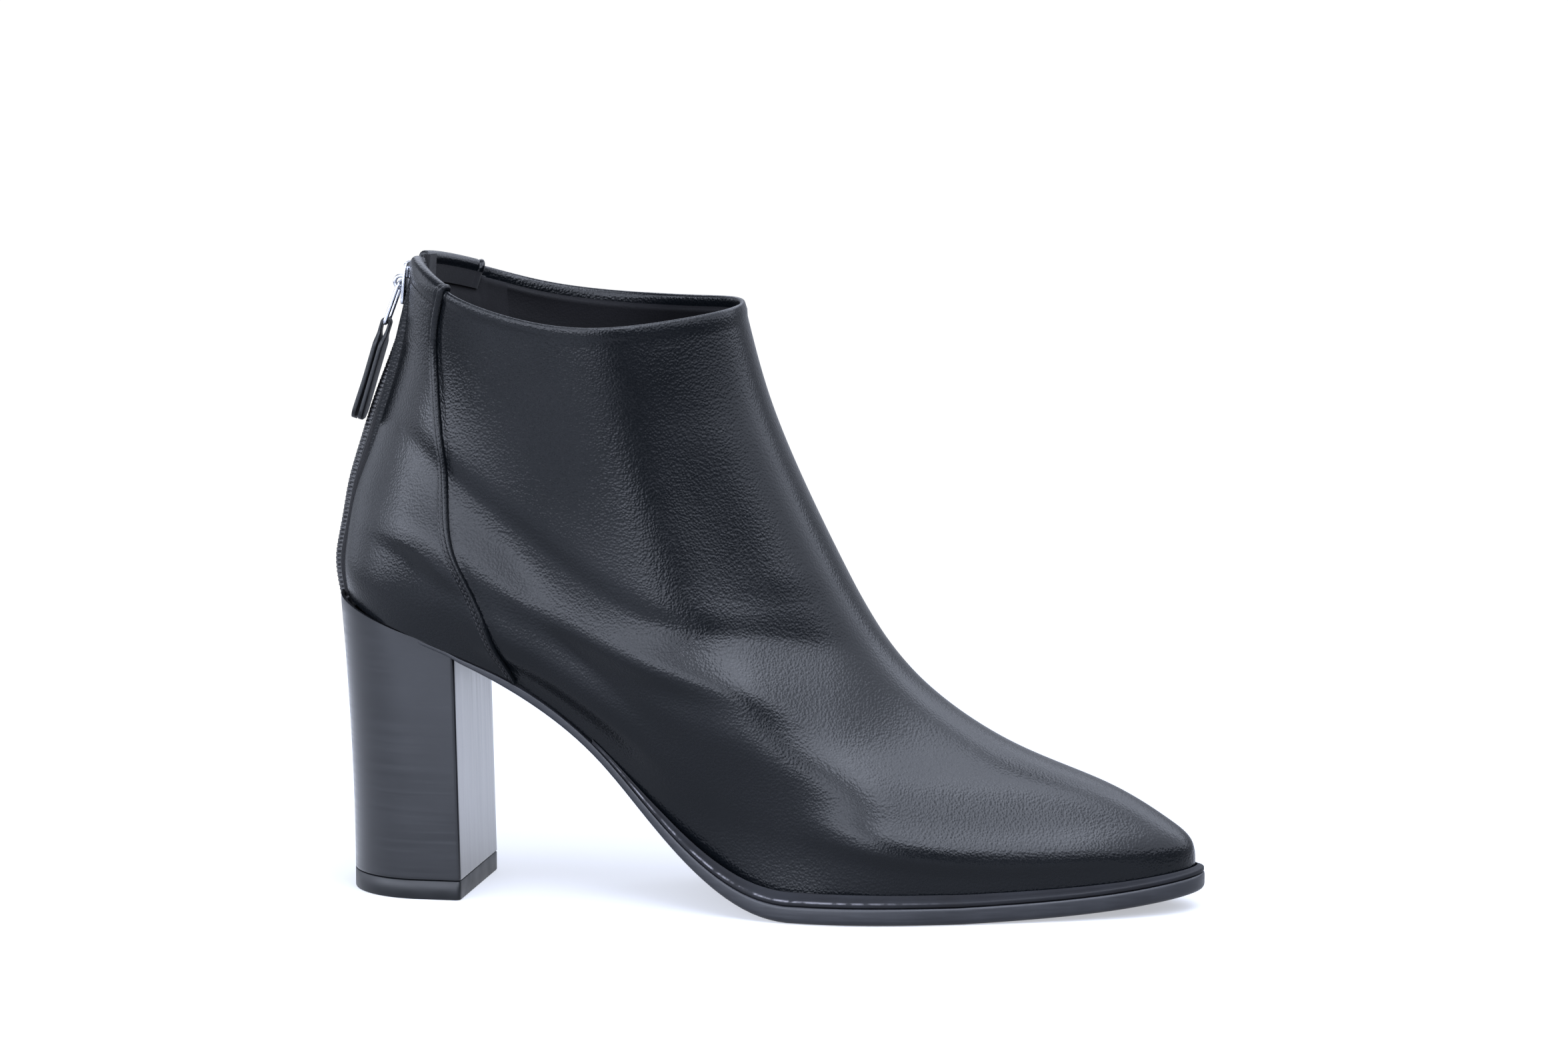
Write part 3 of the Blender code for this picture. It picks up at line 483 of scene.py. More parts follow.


# The upper

# Folds given in the last's own sizes. A fold runs along x or z through a few places: that coordinate,
# the other one, and how far the leather stands out there. It reaches so far below and above its line, with
# a power of 2 for a soft bell or 1 for a crease that is steepest at its line, and fades at its ends.
folds = [
    # the ankle's crease: faint by the back panel, full below the ankle, dying out at the instep
    {"along": "x", "below": (4.5, 2), "above": (13, 1), "fade": (14, 24),
     "line": [(14, 116, 0), (34, 103, 0), (55, 91, 1), (82, 77.5, 2.5), (120, 65, 1.3), (148, 56, 0.2)]},
    # the shallow trough above it
    {"along": "x", "below": (9, 2), "above": (4.5, 2), "fade": (14, 40),
     "line": [(20, 132, -0.4), (44, 115, -1.5), (67, 98, -1.2), (101, 80, -1.1), (140, 74, -0.4),
              (168, 64, 0)]},
    # the quarter swells again above the sole's waist
    {"along": "x", "below": (3.5, 2), "above": (7, 2), "fade": (16, 30),
     "line": [(44, 78, 1.5), (67, 67, 2), (101, 43, 2.4)]},
    # the shaft's front: a shallow hollow beside the shin, then the shin's own soft edge
    {"along": "z", "below": (15, 2), "above": (19, 2), "fade": (12, 20),
     "line": [(84, 138, -0.4), (104, 121, -0.8), (128, 104, -0.8), (158, 94, -0.2)]},
    {"along": "z", "below": (11, 2), "above": (13, 2), "fade": (24, 24),
     "line": [(78, 141, 2), (104, 128, 1.5), (130, 118, 0.8), (154, 111, 0.4)]},
    # below the instep the side stands steep: full above, hollow behind the ball
    {"along": "x", "below": (12, 2), "above": (16, 2), "fade": (28, 24),
     "line": [(104, 67, 1.6), (128, 60, 2.6), (150, 55, 2.2), (168, 49, 0.8)]},
    {"along": "x", "below": (18, 2), "above": (26, 2), "fade": (20, 20),
     "line": [(100, 36, -2), (122, 28, -4), (142, 22, -4.2), (162, 17, -2)]},
    # the vamp's side rolls over just above the welt
    {"along": "x", "below": (3.2, 2), "above": (5, 2), "fade": (30, 22),
     "line": [(140, 27, 1.4), (177, 19, 1.3), (236, 19, 0.8)]},
    # the short tight fold on the back panel, before the crease begins
    {"along": "x", "below": (3, 2), "above": (7, 2), "fade": (14, 10),
     "line": [(10, 107, 0.2), (24, 104, 0.8), (31, 101, 1.2), (38, 96, 1.2), (46, 91, 0.4)]},
]
# how far the fades run past the ends, the turn over which folds die at the ridge, and the calmer inner side
foldEnds = {"before": 6, "after": 4, "ridge": 0.45, "inner": 0.8}


def foldLift(points, turn, side):
    # each fold is a bell across its line, wider on one side than the other, that fades at its ends
    # and before the ridge, where both sides meet
    size = foldEnds
    lift = np.zeros(turn.shape)
    for fold in folds:
        run, off = (points[..., k] for k in ((0, 2) if fold["along"] == "x" else (2, 0)))
        at, line, high = np.array(fold["line"], float).T
        inside = np.clip(run, at[0], at[-1])
        # the line's slope over a millimetre turns the gap across it into a distance
        slope = smoothCurve(at, line, inside + 0.5) - smoothCurve(at, line, inside - 0.5)
        away = (off - smoothCurve(at, line, inside)) / np.sqrt(1 + slope ** 2)
        soft = np.sqrt(away ** 2 + 1) - 1
        under, over = (np.exp(-(soft / reach) ** power) for reach, power in (fold["below"], fold["above"]))
        start, stop = fold["fade"]
        begin = at[0] - size["before"]
        fade = easy(begin, begin + start, run) * (1 - easy(at[-1] - stop, at[-1] + size["after"], run))
        lift += smoothCurve(at, high, inside) * np.where(away > 0, over, under) * fade
    return lift * easy(0.0, size["ridge"], math.pi - turn) * np.where(side > 0, size["inner"], 1.0)


upperSize = {
    "rows": 168, "columns": 164, "crowding": 0.14, "slit": 4.5, "roll": 0.8, "rollSteps": 9, "topDrop": 1.2,
    # the collar's bead and the groove along the seam: height, place and width
    "bead": (0.45, 1.2, 1.3), "groove": (-0.35, 0.8, 1.1),
    # inside the collar: depth from the outer face and drop below the roll, past the lining's own rolled edge
    "facing": [(1.62, 0.8), (1.6, 1.7), (1.55, 2.2), (1.8, 2.4), (2.2, 2.7), (2.4, 3.2),
               (2.35, 3.9), (2.1, 5.2)],
    # under the panel the facing stays this flat, and past the seam it reaches its full depth
    "facingFlat": 1.62, "facingFull": (-1.0, 1.5),
    "turnedRows": 2, "lining": 1.9, "liningTop": 0.93, "liningStep": 3, "suedePast": 1.12,
}


def collarRise(turn, side):
    # rise at which the rolled edge begins, so that its top stays at the collar's own height
    step = 0.02
    below = skin(np.full_like(turn, 1 - step), turn, side)
    speed = np.linalg.norm(skin(np.ones_like(turn), turn, side) - below, axis=-1) / step
    return 1 - upperSize["topDrop"] / speed


def rollOver(centre, radius, out, up, steps):
    # half a circle over the top edge, from the outer face to the inner one, without its two ends
    angle = np.linspace(0, math.pi, steps)[1:-1, None, None]
    return centre + radius * (np.cos(angle) * out + np.sin(angle) * up)


def makeUpper():
    # The wall is a closed profile carried round the boot from the zip's slit to the ridge and back:
    # up the outer face, over a half circle, down the turned edge, the lining's bead and the lining.
    size = upperSize
    share = np.linspace(0, 1, size["columns"] + 1)
    around = np.concatenate([share, share[-2::-1]])[None]
    side = np.concatenate([-np.ones(len(share)), np.ones(len(share) - 1)])[None]
    topTurn = mixed(slitTurn(np.ones_like(around), size["slit"]), math.pi, around)
    step = np.linspace(0, 1, size["rows"])[:, None]
    rise = mixed(step, step ** 2, size["crowding"]) * collarRise(topTurn, side)
    turn = mixed(slitTurn(rise, size["slit"]), math.pi, around)
    side = np.broadcast_to(side, turn.shape)
    base = skin(rise, turn, side)
    pace = np.linalg.norm(np.gradient(base, axis=1), axis=-1)
    past = (turn - seamTurn(rise)) * pace / np.maximum(np.abs(np.gradient(turn, axis=1)), 1e-4)
    fromTop = runOf(base[::-1])[::-1]
    lift = foldLift(base, turn, side) + swell(fromTop, size["bead"]) + swell(past, size["groove"])
    outer = base + gridNormal(base) * lift[..., None]
    normal = gridNormal(outer)
    top, out, up = outer[-1], normal[-1], unit(outer[-1] - outer[-3])
    roll = rollOver(top - out * size["roll"], size["roll"], out, up, size["rollSteps"])
    covered = 1 - easy(*size["facingFull"], past[-1])[:, None]
    facing = [top - out * mixed(depth, min(depth, size["facingFlat"]), covered) - up * drop
              for depth, drop in size["facing"]]
    inner = (outer - normal * size["lining"])[rise[:, 0] < size["liningTop"]][::-size["liningStep"]]
    loops = np.concatenate([outer, roll, np.array(facing), inner]).transpose(1, 0, 2)
    lined = np.arange(loops.shape[1]) >= len(outer) + len(roll) + size["turnedRows"]
    middle = size["rows"] // 2
    heel = turn[middle, :-1] < seamTurn(rise)[middle, :-1] * size["suedePast"]
    index = np.where(lined[None], np.where(heel[:, None], 2, 1), 0)
    solid("upper_leather", loops, [upperLeather, liningLeather, heelSuede], ["upper"],
          offset=loops.shape[1] - 1, facing=index)


makeUpper()
print("upper made")


# The back panels

panelSize = {
    "start": 0.006, "rows": 104, "gap": 0.1, "thick": 0.95, "inside": 6.5, "insideSteps": 9, "rollSteps": 13,
    # columns by distance from the seam's edge, even ones between, and columns by distance from the slit,
    # where the pace is taken a small turn clear of it
    "fromSeam": [0, 0.06, 0.18, 0.35, 0.55, 0.8, 1.05, 1.3, 1.55, 1.8, 2.0, 2.2, 2.45, 2.7, 2.95, 3.15,
                 3.35, 3.6, 4.0, 4.8, 6.0],
    "middle": 22, "fromSlit": [2.6, 1.6, 1.0, 0.6, 0.3, 0.1, 0.0], "slitClear": 0.02, "far": 9.0,
    "seamRound": 0.8, "slitRound": 0.7, "leastRound": 0.003,
    # ridge at the seam, sewn rows and rim at the collar: height, distance from the edge and width
    "ridge": (0.4, 1.0, 0.62), "seamRow": (-0.26, 2.1, 0.3), "secondRow": (-0.26, 3.2, 0.3),
    "topRow": (-0.2, 4.6, 0.45), "rim": (0.3, 1.6, 1.6),
    # the second row runs only below this height, and inside the collar the panel is skived to a share
    "secondBelow": 122, "secondFade": 3, "skived": 0.45, "skivedAt": 1.6,
}


def panelGrid(side):
    # rows by rise, columns first by distance from the seam's edge, then even, then by distance from the slit
    size = panelSize
    rise = mixed(size["start"], 1, np.linspace(0, 1, size["rows"]))[:, None]

    def pace(at, step=0.01):
        # millimetres along each ring for one unit of turn
        return np.linalg.norm(skin(rise, at + step, side) - skin(rise, at - step, side), axis=-1) / (2 * step)

    seam, slit = seamTurn(rise), slitTurn(rise, upperSize["slit"])
    near = seam - np.array(size["fromSeam"])[None] / pace(seam)
    far = slit + np.array(size["fromSlit"])[None] / pace(slit + size["slitClear"])
    middle = mixed(near[:, -1:], far[:, :1], np.linspace(0, 1, size["middle"] + 2)[None, 1:-1])
    turn = np.hstack([near, middle, far])
    level = rise * np.ones_like(turn)
    level = level * mixed(1, collarRise(turn[-1:], side), (level - size["start"]) / (1 - size["start"]))
    base = skin(level, turn, side)
    normal = gridNormal(base)
    if np.mean(normal[..., 1]) * side < 0:
        normal = -normal
    base = base + normal * foldLift(base, turn, np.full(turn.shape, side))[..., None]
    seamEdge, slitEdge = np.full((2, turn.shape[1]), size["far"])
    seamEdge[:near.shape[1]] = size["fromSeam"]
    slitEdge[-far.shape[1]:] = size["fromSlit"]
    return base, normal, seamEdge, slitEdge


def makePanel(name, side, node):
    # The panel is a hook in section: up the upper's face, over its rolled edge and down inside. Its
    # edge at the seam is turned under, so it stands up as a round ridge, with sewn rows sunk beside it.
    size = panelSize
    base, normal, edge, slitEdge = panelGrid(side)
    fromTop = runOf(base[::-1])[::-1]
    atSeam = rounded(edge, size["seamRound"], size["leastRound"])
    lift = size["thick"] * atSeam * rounded(slitEdge, size["slitRound"], size["leastRound"])
    lift = lift + swell(edge, size["ridge"]) * atSeam + swell(edge, size["seamRow"])
    secondBelow, secondFade = size["secondBelow"], size["secondFade"]
    low = 1 - easy(secondBelow - secondFade, secondBelow + secondFade, base[..., 2])
    lift = lift + swell(edge, size["secondRow"]) * low
    seamAt, seamWide = size["seamRow"][1:]
    behind = easy(seamAt, seamAt + seamWide, edge)
    lift = lift + (swell(fromTop, size["topRow"]) + swell(fromTop, size["rim"])) * behind
    out, up = normal[-1], unit(base[-1] - base[-3])
    drop = np.linspace(0, size["inside"], size["insideSteps"])[:, None, None]
    centre = base[-1] - out * upperSize["roll"]

    def hook(rest):
        # the section at a distance from the upper's face, thinner where it is skived inside
        over = rest[-1][:, None]
        thin = size["gap"] + (over - size["gap"]) * size["skived"]
        depth = upperSize["roll"] + mixed(over, thin, easy(0, size["skivedAt"], drop))
        roll = rollOver(centre, upperSize["roll"] + over, out, up, size["rollSteps"])
        return np.concatenate([base + normal * rest[..., None], roll, centre - depth * out - up * drop])

    outside = hook(size["gap"] + lift)
    under = hook(np.full(lift.shape, size["gap"]))
    loops = np.concatenate([outside, under[::-1]]).transpose(1, 0, 2)
    row = np.arange(loops.shape[1])
    napped = (row >= len(base) + size["rollSteps"]) & (row < len(outside))
    solid(name, loops, [panelLeather, heelSuede], [node],
          offset=loops.shape[1] - 1, facing=napped[None])
    return outside[:len(base)], normal, edge, fromTop


threadSize = {
    "pitch": 1.65, "stitch": (1.35, 0.46, 0.34), "proud": 0.06, "step": 0.3,
    "rings": (-55, -20, 20, 55), "sides": 6,
    # the row along the collar: the column it is measured on, and its ends in columns from seam and slit
    "topColumn": 30, "topStart": 2, "topEnd": -4, "topClear": 0.4,
}


def stitches(name, rows):
    # Each row is a path with its normals, and stitches sit one pitch apart on it. A stitch is an
    # ellipsoid of a few rings with two ends, put at every place by its three directions.
    size = threadSize
    middle, ahead, up = [], [], []
    for path, normal in rows:
        run = runOf(path)
        at = np.arange(size["pitch"] / 2, run[-1], size["pitch"])
        spread = lambda values, s: np.stack([np.interp(s, run, values[:, k]) for k in range(3)], -1)
        middle.append(spread(path, at))
        ahead.append(unit(spread(path, at + size["step"]) - spread(path, at - size["step"])))
        up.append(unit(spread(normal, at)))
    middle, ahead, up = np.vstack(middle), np.vstack(ahead), np.vstack(up)
    axes = np.stack([ahead, unit(np.cross(up, ahead)), up], 1)
    count, sides = len(size["rings"]), size["sides"]
    tilt = np.radians(size["rings"])[:, None]
    turn = circle(sides)[None]
    ball = np.stack([np.sin(tilt) + 0 * turn, np.cos(tilt) * np.cos(turn), np.cos(tilt) * np.sin(turn)], -1)
    ball = np.vstack([ball.reshape(-1, 3), [-1, 0, 0], [1, 0, 0]]) * np.array(size["stitch"]) / 2
    points = middle[:, None] + ball @ axes
    i = np.arange(sides)
    j = (i + 1) % sides
    last = (count - 1) * sides
    quads = np.vstack([np.stack([i, j, sides + j, sides + i], -1) + k * sides for k in range(count - 1)])
    tips = np.vstack([np.stack([j, i, np.full(sides, len(ball) - 2)], -1),
                      np.stack([last + i, last + j, np.full(sides, len(ball) - 1)], -1)])
    shift = np.arange(len(points))[:, None, None] * len(ball)
    faces = [(part[:, ::-1] + shift).reshape(-1, part.shape[1]).tolist() for part in (quads, tips)]
    seat(meshOf(name, points.reshape(-1, 3), faces[0] + faces[1], [sewThread]))


def sewPanel(name, side, node):
    # the row along the seam, the shorter second row beside it and the row along the collar
    size = threadSize
    face, normal, edge, fromTop = makePanel(name, side, node)
    thread = face + size["proud"] * normal
    seamAt, secondAt, topAt = (panelSize[row][1] for row in ("seamRow", "secondRow", "topRow"))
    first = int(np.argmin(np.abs(edge - seamAt)))
    second = int(np.argmin(np.abs(edge - secondAt)))
    top = int(np.argmin(np.abs(fromTop[:, size["topColumn"]] - topAt)))
    below = fromTop[:, first] > topAt - size["topClear"]
    low = face[:, second, 2] < panelSize["secondBelow"]
    span = slice(first + size["topStart"], size["topEnd"])
    places = ((below, first), (low, second), (top, span))
    stitches(name + "_stitches", [(thread[at], normal[at]) for at in places])


sewPanel("back_panel_outer", -1, "back_panel_lateral")
sewPanel("back_panel_inner", 1, "back_panel_medial")
print("back panels and stitches made")


# Sole, welt, insole and heel

def footLoop(rise, steps):
    # the upper's outline at one rise, from the back round the outer side, with outward directions
    turn = np.linspace(0, math.pi, steps + 1)[None]
    rise = np.full_like(turn, rise)
    loop = np.vstack([skin(rise, turn, -1)[0], skin(rise, turn, 1)[0, -2:0:-1]])
    ahead = np.roll(loop, -1, 0) - np.roll(loop, 1, 0)
    return loop, unit(np.stack([ahead[:, 1], -ahead[:, 0]], -1))


soleSize = {
    "steps": 150, "tuck": 2.0, "tuckEnd": (36, 42),
    # the edge from the tread up: height as a share of the thickness, inset as a share of it
    "edge": [(0, 0.46), (0.02, 0.34), (0.06, 0.2), (0.12, 0.1), (0.22, 0.03), (0.36, 0), (0.6, 0), (0.84, 0),
             (0.95, 0.02), (1, 0.06)],
}


def makeOutsole():
    # loops at rising heights of the edge, each the foot's outline moved out by the ledge less the inset,
    # and tucked in over the heel
    size = soleSize
    loop, out = footLoop(0.0, size["steps"])
    x = loop[:, 0]
    tuck = size["tuck"] * (1 - easy(*size["tuckEnd"], x))
    levels = []
    for height, inset in size["edge"]:
        plan = loop[:, :2] + out * (soleAt("ledge", x) - inset * soleAt("thick", x) - tuck)[:, None]
        levels.append(np.column_stack([plan, tread(plan[:, 0]) + height * soleAt("thick", plan[:, 0])]))
    solid("outsole_leather", np.array(levels), [soleLeather], ["outsole"], sharp=60)


weltSize = {
    "edge": 1.2, "rise": 0.022, "start": 77.0, "full": 100.0, "set": 0.2, "low": 0.5,
    "gap": 0.3, "round": 0.32,
    # over the face: share of the way from the edge to the upper, and how deep it is sunk there
    "face": [(0.88, 0), (0.74, 0.12), (0.5, 0), (0.3, 0)],
    # round the upper corner: distance from the edge in corner radii, and depth; then height and inset below
    "corner": [(2.0, 0), (1.0, 0.02), (0.45, 0.07), (0.12, 0.18)], "cornerShare": 0.25,
    "foot": [(0.18, 0), (0.02, 0.15)],
    # rubbed dye on the corner's last points, and where along the boot it comes and goes
    "rubbed": [0.35, 0.7, 0.42], "rubStart": (78, 92), "rubEnd": (130, 188),
}


def makeWelt():
    # a narrow section carried round the forefoot: flat below, a short upright edge with rounded corners,
    # a face that slopes up to the upper and turns up against it
    size = weltSize
    foot, out = footLoop(0.0, soleSize["steps"])
    head, headOut = footLoop(size["rise"], soleSize["steps"])
    kept = foot[:, 0] > size["start"]
    foot, out, head, headOut = foot[kept], out[kept], head[kept], headOut[kept]
    x, gap = foot[:, 0], size["gap"]
    growth = np.clip((x - size["start"]) / (size["full"] - size["start"]), 0, 1)[:, None]
    on = lambda plan, height: np.column_stack([plan, soleTop(plan[:, 0]) + height])
    inside = foot[:, :2] + out * 2 * gap
    outside = foot[:, :2] + out * (soleAt("ledge", x) - size["set"])[:, None]
    head[:, :2] += headOut * 2 * gap
    topIn = mixed(on(inside, gap + size["edge"]), head, growth)
    topOut = on(outside, gap + size["edge"] * mixed(size["low"], 1, growth[:, 0]))
    corner = size["round"] / np.linalg.norm(topIn - topOut, axis=-1, keepdims=True)
    corners = [(np.clip(k * corner, 0, size["cornerShare"]), sunk) for k, sunk in size["corner"]]
    section = [on(inside, gap), topIn]
    section += [mixed(topOut, topIn, share) - [0, 0, sunk] for share, sunk in size["face"] + corners]
    last = len(section)
    section += [topOut - [0, 0, size["round"]]]
    section += [on(outside - out * inset, gap + height) for height, inset in size["foot"]]
    loops = np.stack(section, axis=1)
    piece = solid("welt_leather", loops, [weltLeather], ["welt"], caps="fan", sharp=70)
    rubbed = np.zeros(loops.shape[:2])
    worn = easy(*size["rubStart"], x) * (1 - easy(*size["rubEnd"], x))
    rubbed[:, last - len(size["rubbed"]):last] = np.array(size["rubbed"])[None] * worn[:, None]
    # one number for each point, read by the welt's material; the two cap points stay at nothing
    spots = np.zeros(len(piece.data.vertices), np.float32)
    spots[:rubbed.size] = rubbed.ravel()
    piece.data.attributes.new("edge", "FLOAT", "POINT").data.foreach_set("value", spots)


insoleSize = {
    "steps": 110, "thick": 2.6, "inset": 2.8, "back": 1.8, "backEnd": 25.0, "gap": 0.3,
    # from the board up: height as a share of the thickness, and inset
    "edge": [(0, 0), (0.6, 0), (0.85, 0.4), (0.97, 1.2), (1.0, 2.4)],
}


def makeInsole():
    # loops from the board up, with the sock's edge rounded over
    size = insoleSize
    loop, out = footLoop(0.0, size["steps"])
    inset = size["inset"] + size["back"] * np.clip(1 - loop[:, 0] / size["backEnd"], 0, 1)
    levels = []
    for height, extra in size["edge"]:
        plan = loop[:, :2] - out * (inset + extra)[:, None]
        levels.append(np.column_stack([plan, soleTop(plan[:, 0]) + size["gap"] + height * size["thick"]]))
    solid("insole_sock", np.array(levels), [sockSuede], ["insole"], sharp=70)


heelSize = {
    "cap": 5.4, "gap": 0.3, "half": 24.7, "round": 22.7, "corner": 1.2, "foot": heelFoot, "lean": 3.8,
    "leanPower": 1.8, "breast": 40.2, "breastLean": 1.7, "bevel": 0.1, "bevelShare": 0.002,
    "firstShare": 0.012, "levels": 40, "steps": 44, "straight": 6, "bend": 7, "front": 11,
    # the cover's rim past the sole: its thickness, its height, the least height and where it ends
    "rim": 1.0, "lip": 1.7, "lipLeast": 0.02, "lipEnd": (33, 38),
    # the cap's lower edge: height and inset
    "capEdge": [(0, 0.4), (0.12, 0.15), (0.4, 0)],
}


def heelPlan(share, inset):
    # a half ellipse behind, straight sides and a flat breast with small round corners
    size = heelSize
    back = size["foot"] - size["lean"] * share ** size["leanPower"] + inset
    breast = size["breast"] - size["breastLean"] * share - inset
    half, corner = size["half"] - inset, size["corner"]
    angle = np.linspace(0, math.pi / 2, size["steps"] + 1)
    bend = np.linspace(0, math.pi / 2, size["bend"])
    straight = np.linspace(back + size["round"], breast - corner, size["straight"] + 2)[1:-1]
    front = np.linspace(half - corner, 0, size["front"] + 1)[1:]
    x = np.concatenate([back + size["round"] * (1 - np.cos(angle)), straight,
                        breast - corner + corner * np.sin(bend), np.full(len(front), breast)])
    y = np.concatenate([half * np.sin(angle), np.full(len(straight), half),
                        half - corner + corner * np.cos(bend), front])
    return np.vstack([np.column_stack([x, -y]), np.column_stack([x, y])[-2:0:-1]])


def makeHeel():
    # loops from the cap's joint up to the sole, whose underside they follow more and more, then a thin
    # rim of the cover that stands up past the sole's edge, except at the breast
    size = heelSize
    base = size["cap"] + size["gap"]
    levels = []
    for share in (0.0, size["bevelShare"], *np.linspace(size["firstShare"], 1, size["levels"])):
        plan = heelPlan(share, size["bevel"] * max(0, 1 - share / size["bevelShare"]))
        levels.append(np.column_stack([plan, mixed(base, tread(plan[:, 0]) - size["gap"], share)]))
    for inset, lip in ((0, 1), (1, 1), (1, 0)):
        plan = heelPlan(1.0, inset * size["rim"])
        high = size["lipLeast"] + size["lip"] * (1 - easy(*size["lipEnd"], plan[:, 0]))
        levels.append(np.column_stack([plan, tread(plan[:, 0]) - size["gap"] + high * lip]))
    spot = np.arange(len(levels[0]))
    first = size["steps"] + size["straight"] + size["bend"]
    breast = (spot >= first) & (spot < first + 2 * size["front"])
    # the breast's faces take the lighter finish, a painted highlight
    solid("heel_stack", np.array(levels), [heelStack, heelBreastPaintedHighlight], ["heel_block"],
          sharp=70, facing=breast[None])
    levels = []
    for z, inset in (*size["capEdge"], (size["cap"] - size["bevel"], 0), (size["cap"], size["bevel"])):
        plan = heelPlan(0.0, inset)
        levels.append(np.column_stack([plan, np.full(len(plan), z)]))
    solid("heel_top_piece", np.array(levels), [heelRubber], ["heel_cap"], sharp=70)


makeOutsole()
makeWelt()
makeInsole()
makeHeel()
print("sole, welt, insole and heel made")


# The zip

zipShape = columns("rise bulge", (0.0, 2.2), (0.12, 2.4), (0.3, 1.8), (0.55, 2.6), (0.8, 1.3), (1.0, -1.0))
zipSize = {
    "start": -0.006, "tape": 0.6, "flat": 2.6, "foot": 4.1, "half": 8.0, "part": 0.930, "neck": 1.2,
    "gap": 0.3, "tuck": 2.25, "tapeRows": 110, "tapeColumns": 22,
    "coilHalf": 2.2, "coilThick": 1.9, "coilSet": -0.1, "coilTop": 0.920, "coilRows": 520, "coilSides": 13,
    # a tooth's length, its least height and reach as shares of the full ones, and powers for a blunt form
    "tooth": 1.25, "toothHigh": 0.62, "toothReach": 0.86, "toothBlunt": 0.8, "coilBlunt": 0.7,
    "sliderRise": 0.935,
}


def zipLift(rise, y):
    # height of the tape's face over the upper: raised in the middle, tucked behind the leather at its edges
    size = zipSize
    bulge = smoothCurve(zipShape["rise"], zipShape["bulge"], rise)
    return mixed(bulge, -size["tuck"], easy(size["flat"], size["foot"], np.abs(y)))


def backFace(rise, turn, side, lift):
    # the upper's face near the back, moved out along its normal
    step = 1e-3
    across = skin(rise, turn + step, side) - skin(rise, turn - step, side)
    up = skin(rise + step, turn, side) - skin(rise - step, turn, side)
    return skin(rise, turn, side) + unit(-side * np.cross(across, up)) * lift[..., None]


def makeTape(name, side, node):
    # one strip's section, out over its face and back under it, carried up the zip
    size = zipSize
    rise = np.linspace(size["start"], 1, size["tapeRows"])[:, None]
    start = np.where(rise < size["part"], size["gap"] / 2, size["neck"] + size["gap"])
    y = mixed(start, size["half"], np.linspace(0, 1, size["tapeColumns"])[None])
    rise = rise * np.ones_like(y)
    lift = zipLift(rise, y)
    outer, inner = (backFace(rise, slitTurn(rise, y), side, lift - deep) for deep in (0, size["tape"]))
    loops = np.concatenate([outer, inner[:, ::-1]], axis=1)
    piece = solid(name, loops, [tapeWeave], [node], offset=loops.shape[1] - 1)
    # the strip laid flat for its weave: across by y, along by the run up its edge
    across = np.concatenate([y, y[:, ::-1]], 1)
    flat = np.stack([across, runOf(outer[:, 0])[:, None] + 0 * across], -1).reshape(-1, 2) / tapeUnit
    corner = np.zeros(len(piece.data.loops), np.int32)
    piece.data.loops.foreach_get("vertex_index", corner)
    layer = piece.data.uv_layers.new(name="tape")
    layer.uv.foreach_set("vector", flat[corner].astype(np.float32).ravel())


def zipLine(rise, lift):
    # the zip's middle line lifted off its tape, and its outward direction
    zero = np.zeros_like(rise)
    low, high = (backFace(rise, zero, -1, zipLift(rise, zero) + lift + more) for more in (0, 1))
    return low, unit(high - low)


def makeCoil():
    # half round section along the zip whose two halves swell and thin in turn, tooth by tooth
    size = zipSize
    base, out = zipLine(np.linspace(size["start"], size["coilTop"], size["coilRows"]), size["coilSet"])
    angle = np.linspace(0, math.pi, size["coilSides"])
    across = np.cos(angle) * size["coilHalf"]
    height = np.sin(angle) ** size["coilBlunt"] * size["coilThick"]
    phase = math.pi * runOf(base)[:, None] / size["tooth"] + 0.5 * math.pi * (np.cos(angle) > 0)[None]
    wave = np.abs(np.sin(phase))
    across = across * mixed(size["toothReach"], 1, wave)
    height = height * mixed(size["toothHigh"], 1, wave ** size["toothBlunt"])
    section = base[:, None] + across[..., None] * np.array([0, 1.0, 0]) + height[..., None] * out[:, None]
    loops = np.concatenate([section, base[:, None]], axis=1)
    solid("zip_coil_teeth", loops, [coilNylon], ["zip_coil"], caps="fan", sharp=60)


makeTape("zip_tape_outer", -1, "zip_tape_lateral")
makeTape("zip_tape_inner", 1, "zip_tape_medial")
makeCoil()
print("zip tapes and coil made")


hinge = (np.array(frame["joints"][0]["pos_m"]) - place) / mm
sliderSize = {
    "tall": 12.0, "half": 3.8, "plate": 1.0, "face": 1.0, "behind": 5.6, "backHalf": 2.2, "plateSoft": 0.28,
    "neck": 1.2, "neckAt": 0.25, "neckTall": 0.3, "neckSoft": 0.4,
    "bridge": 1.75, "bridgeFoot": 0.4, "bridgeSteps": 17, "wire": 0.55,
}


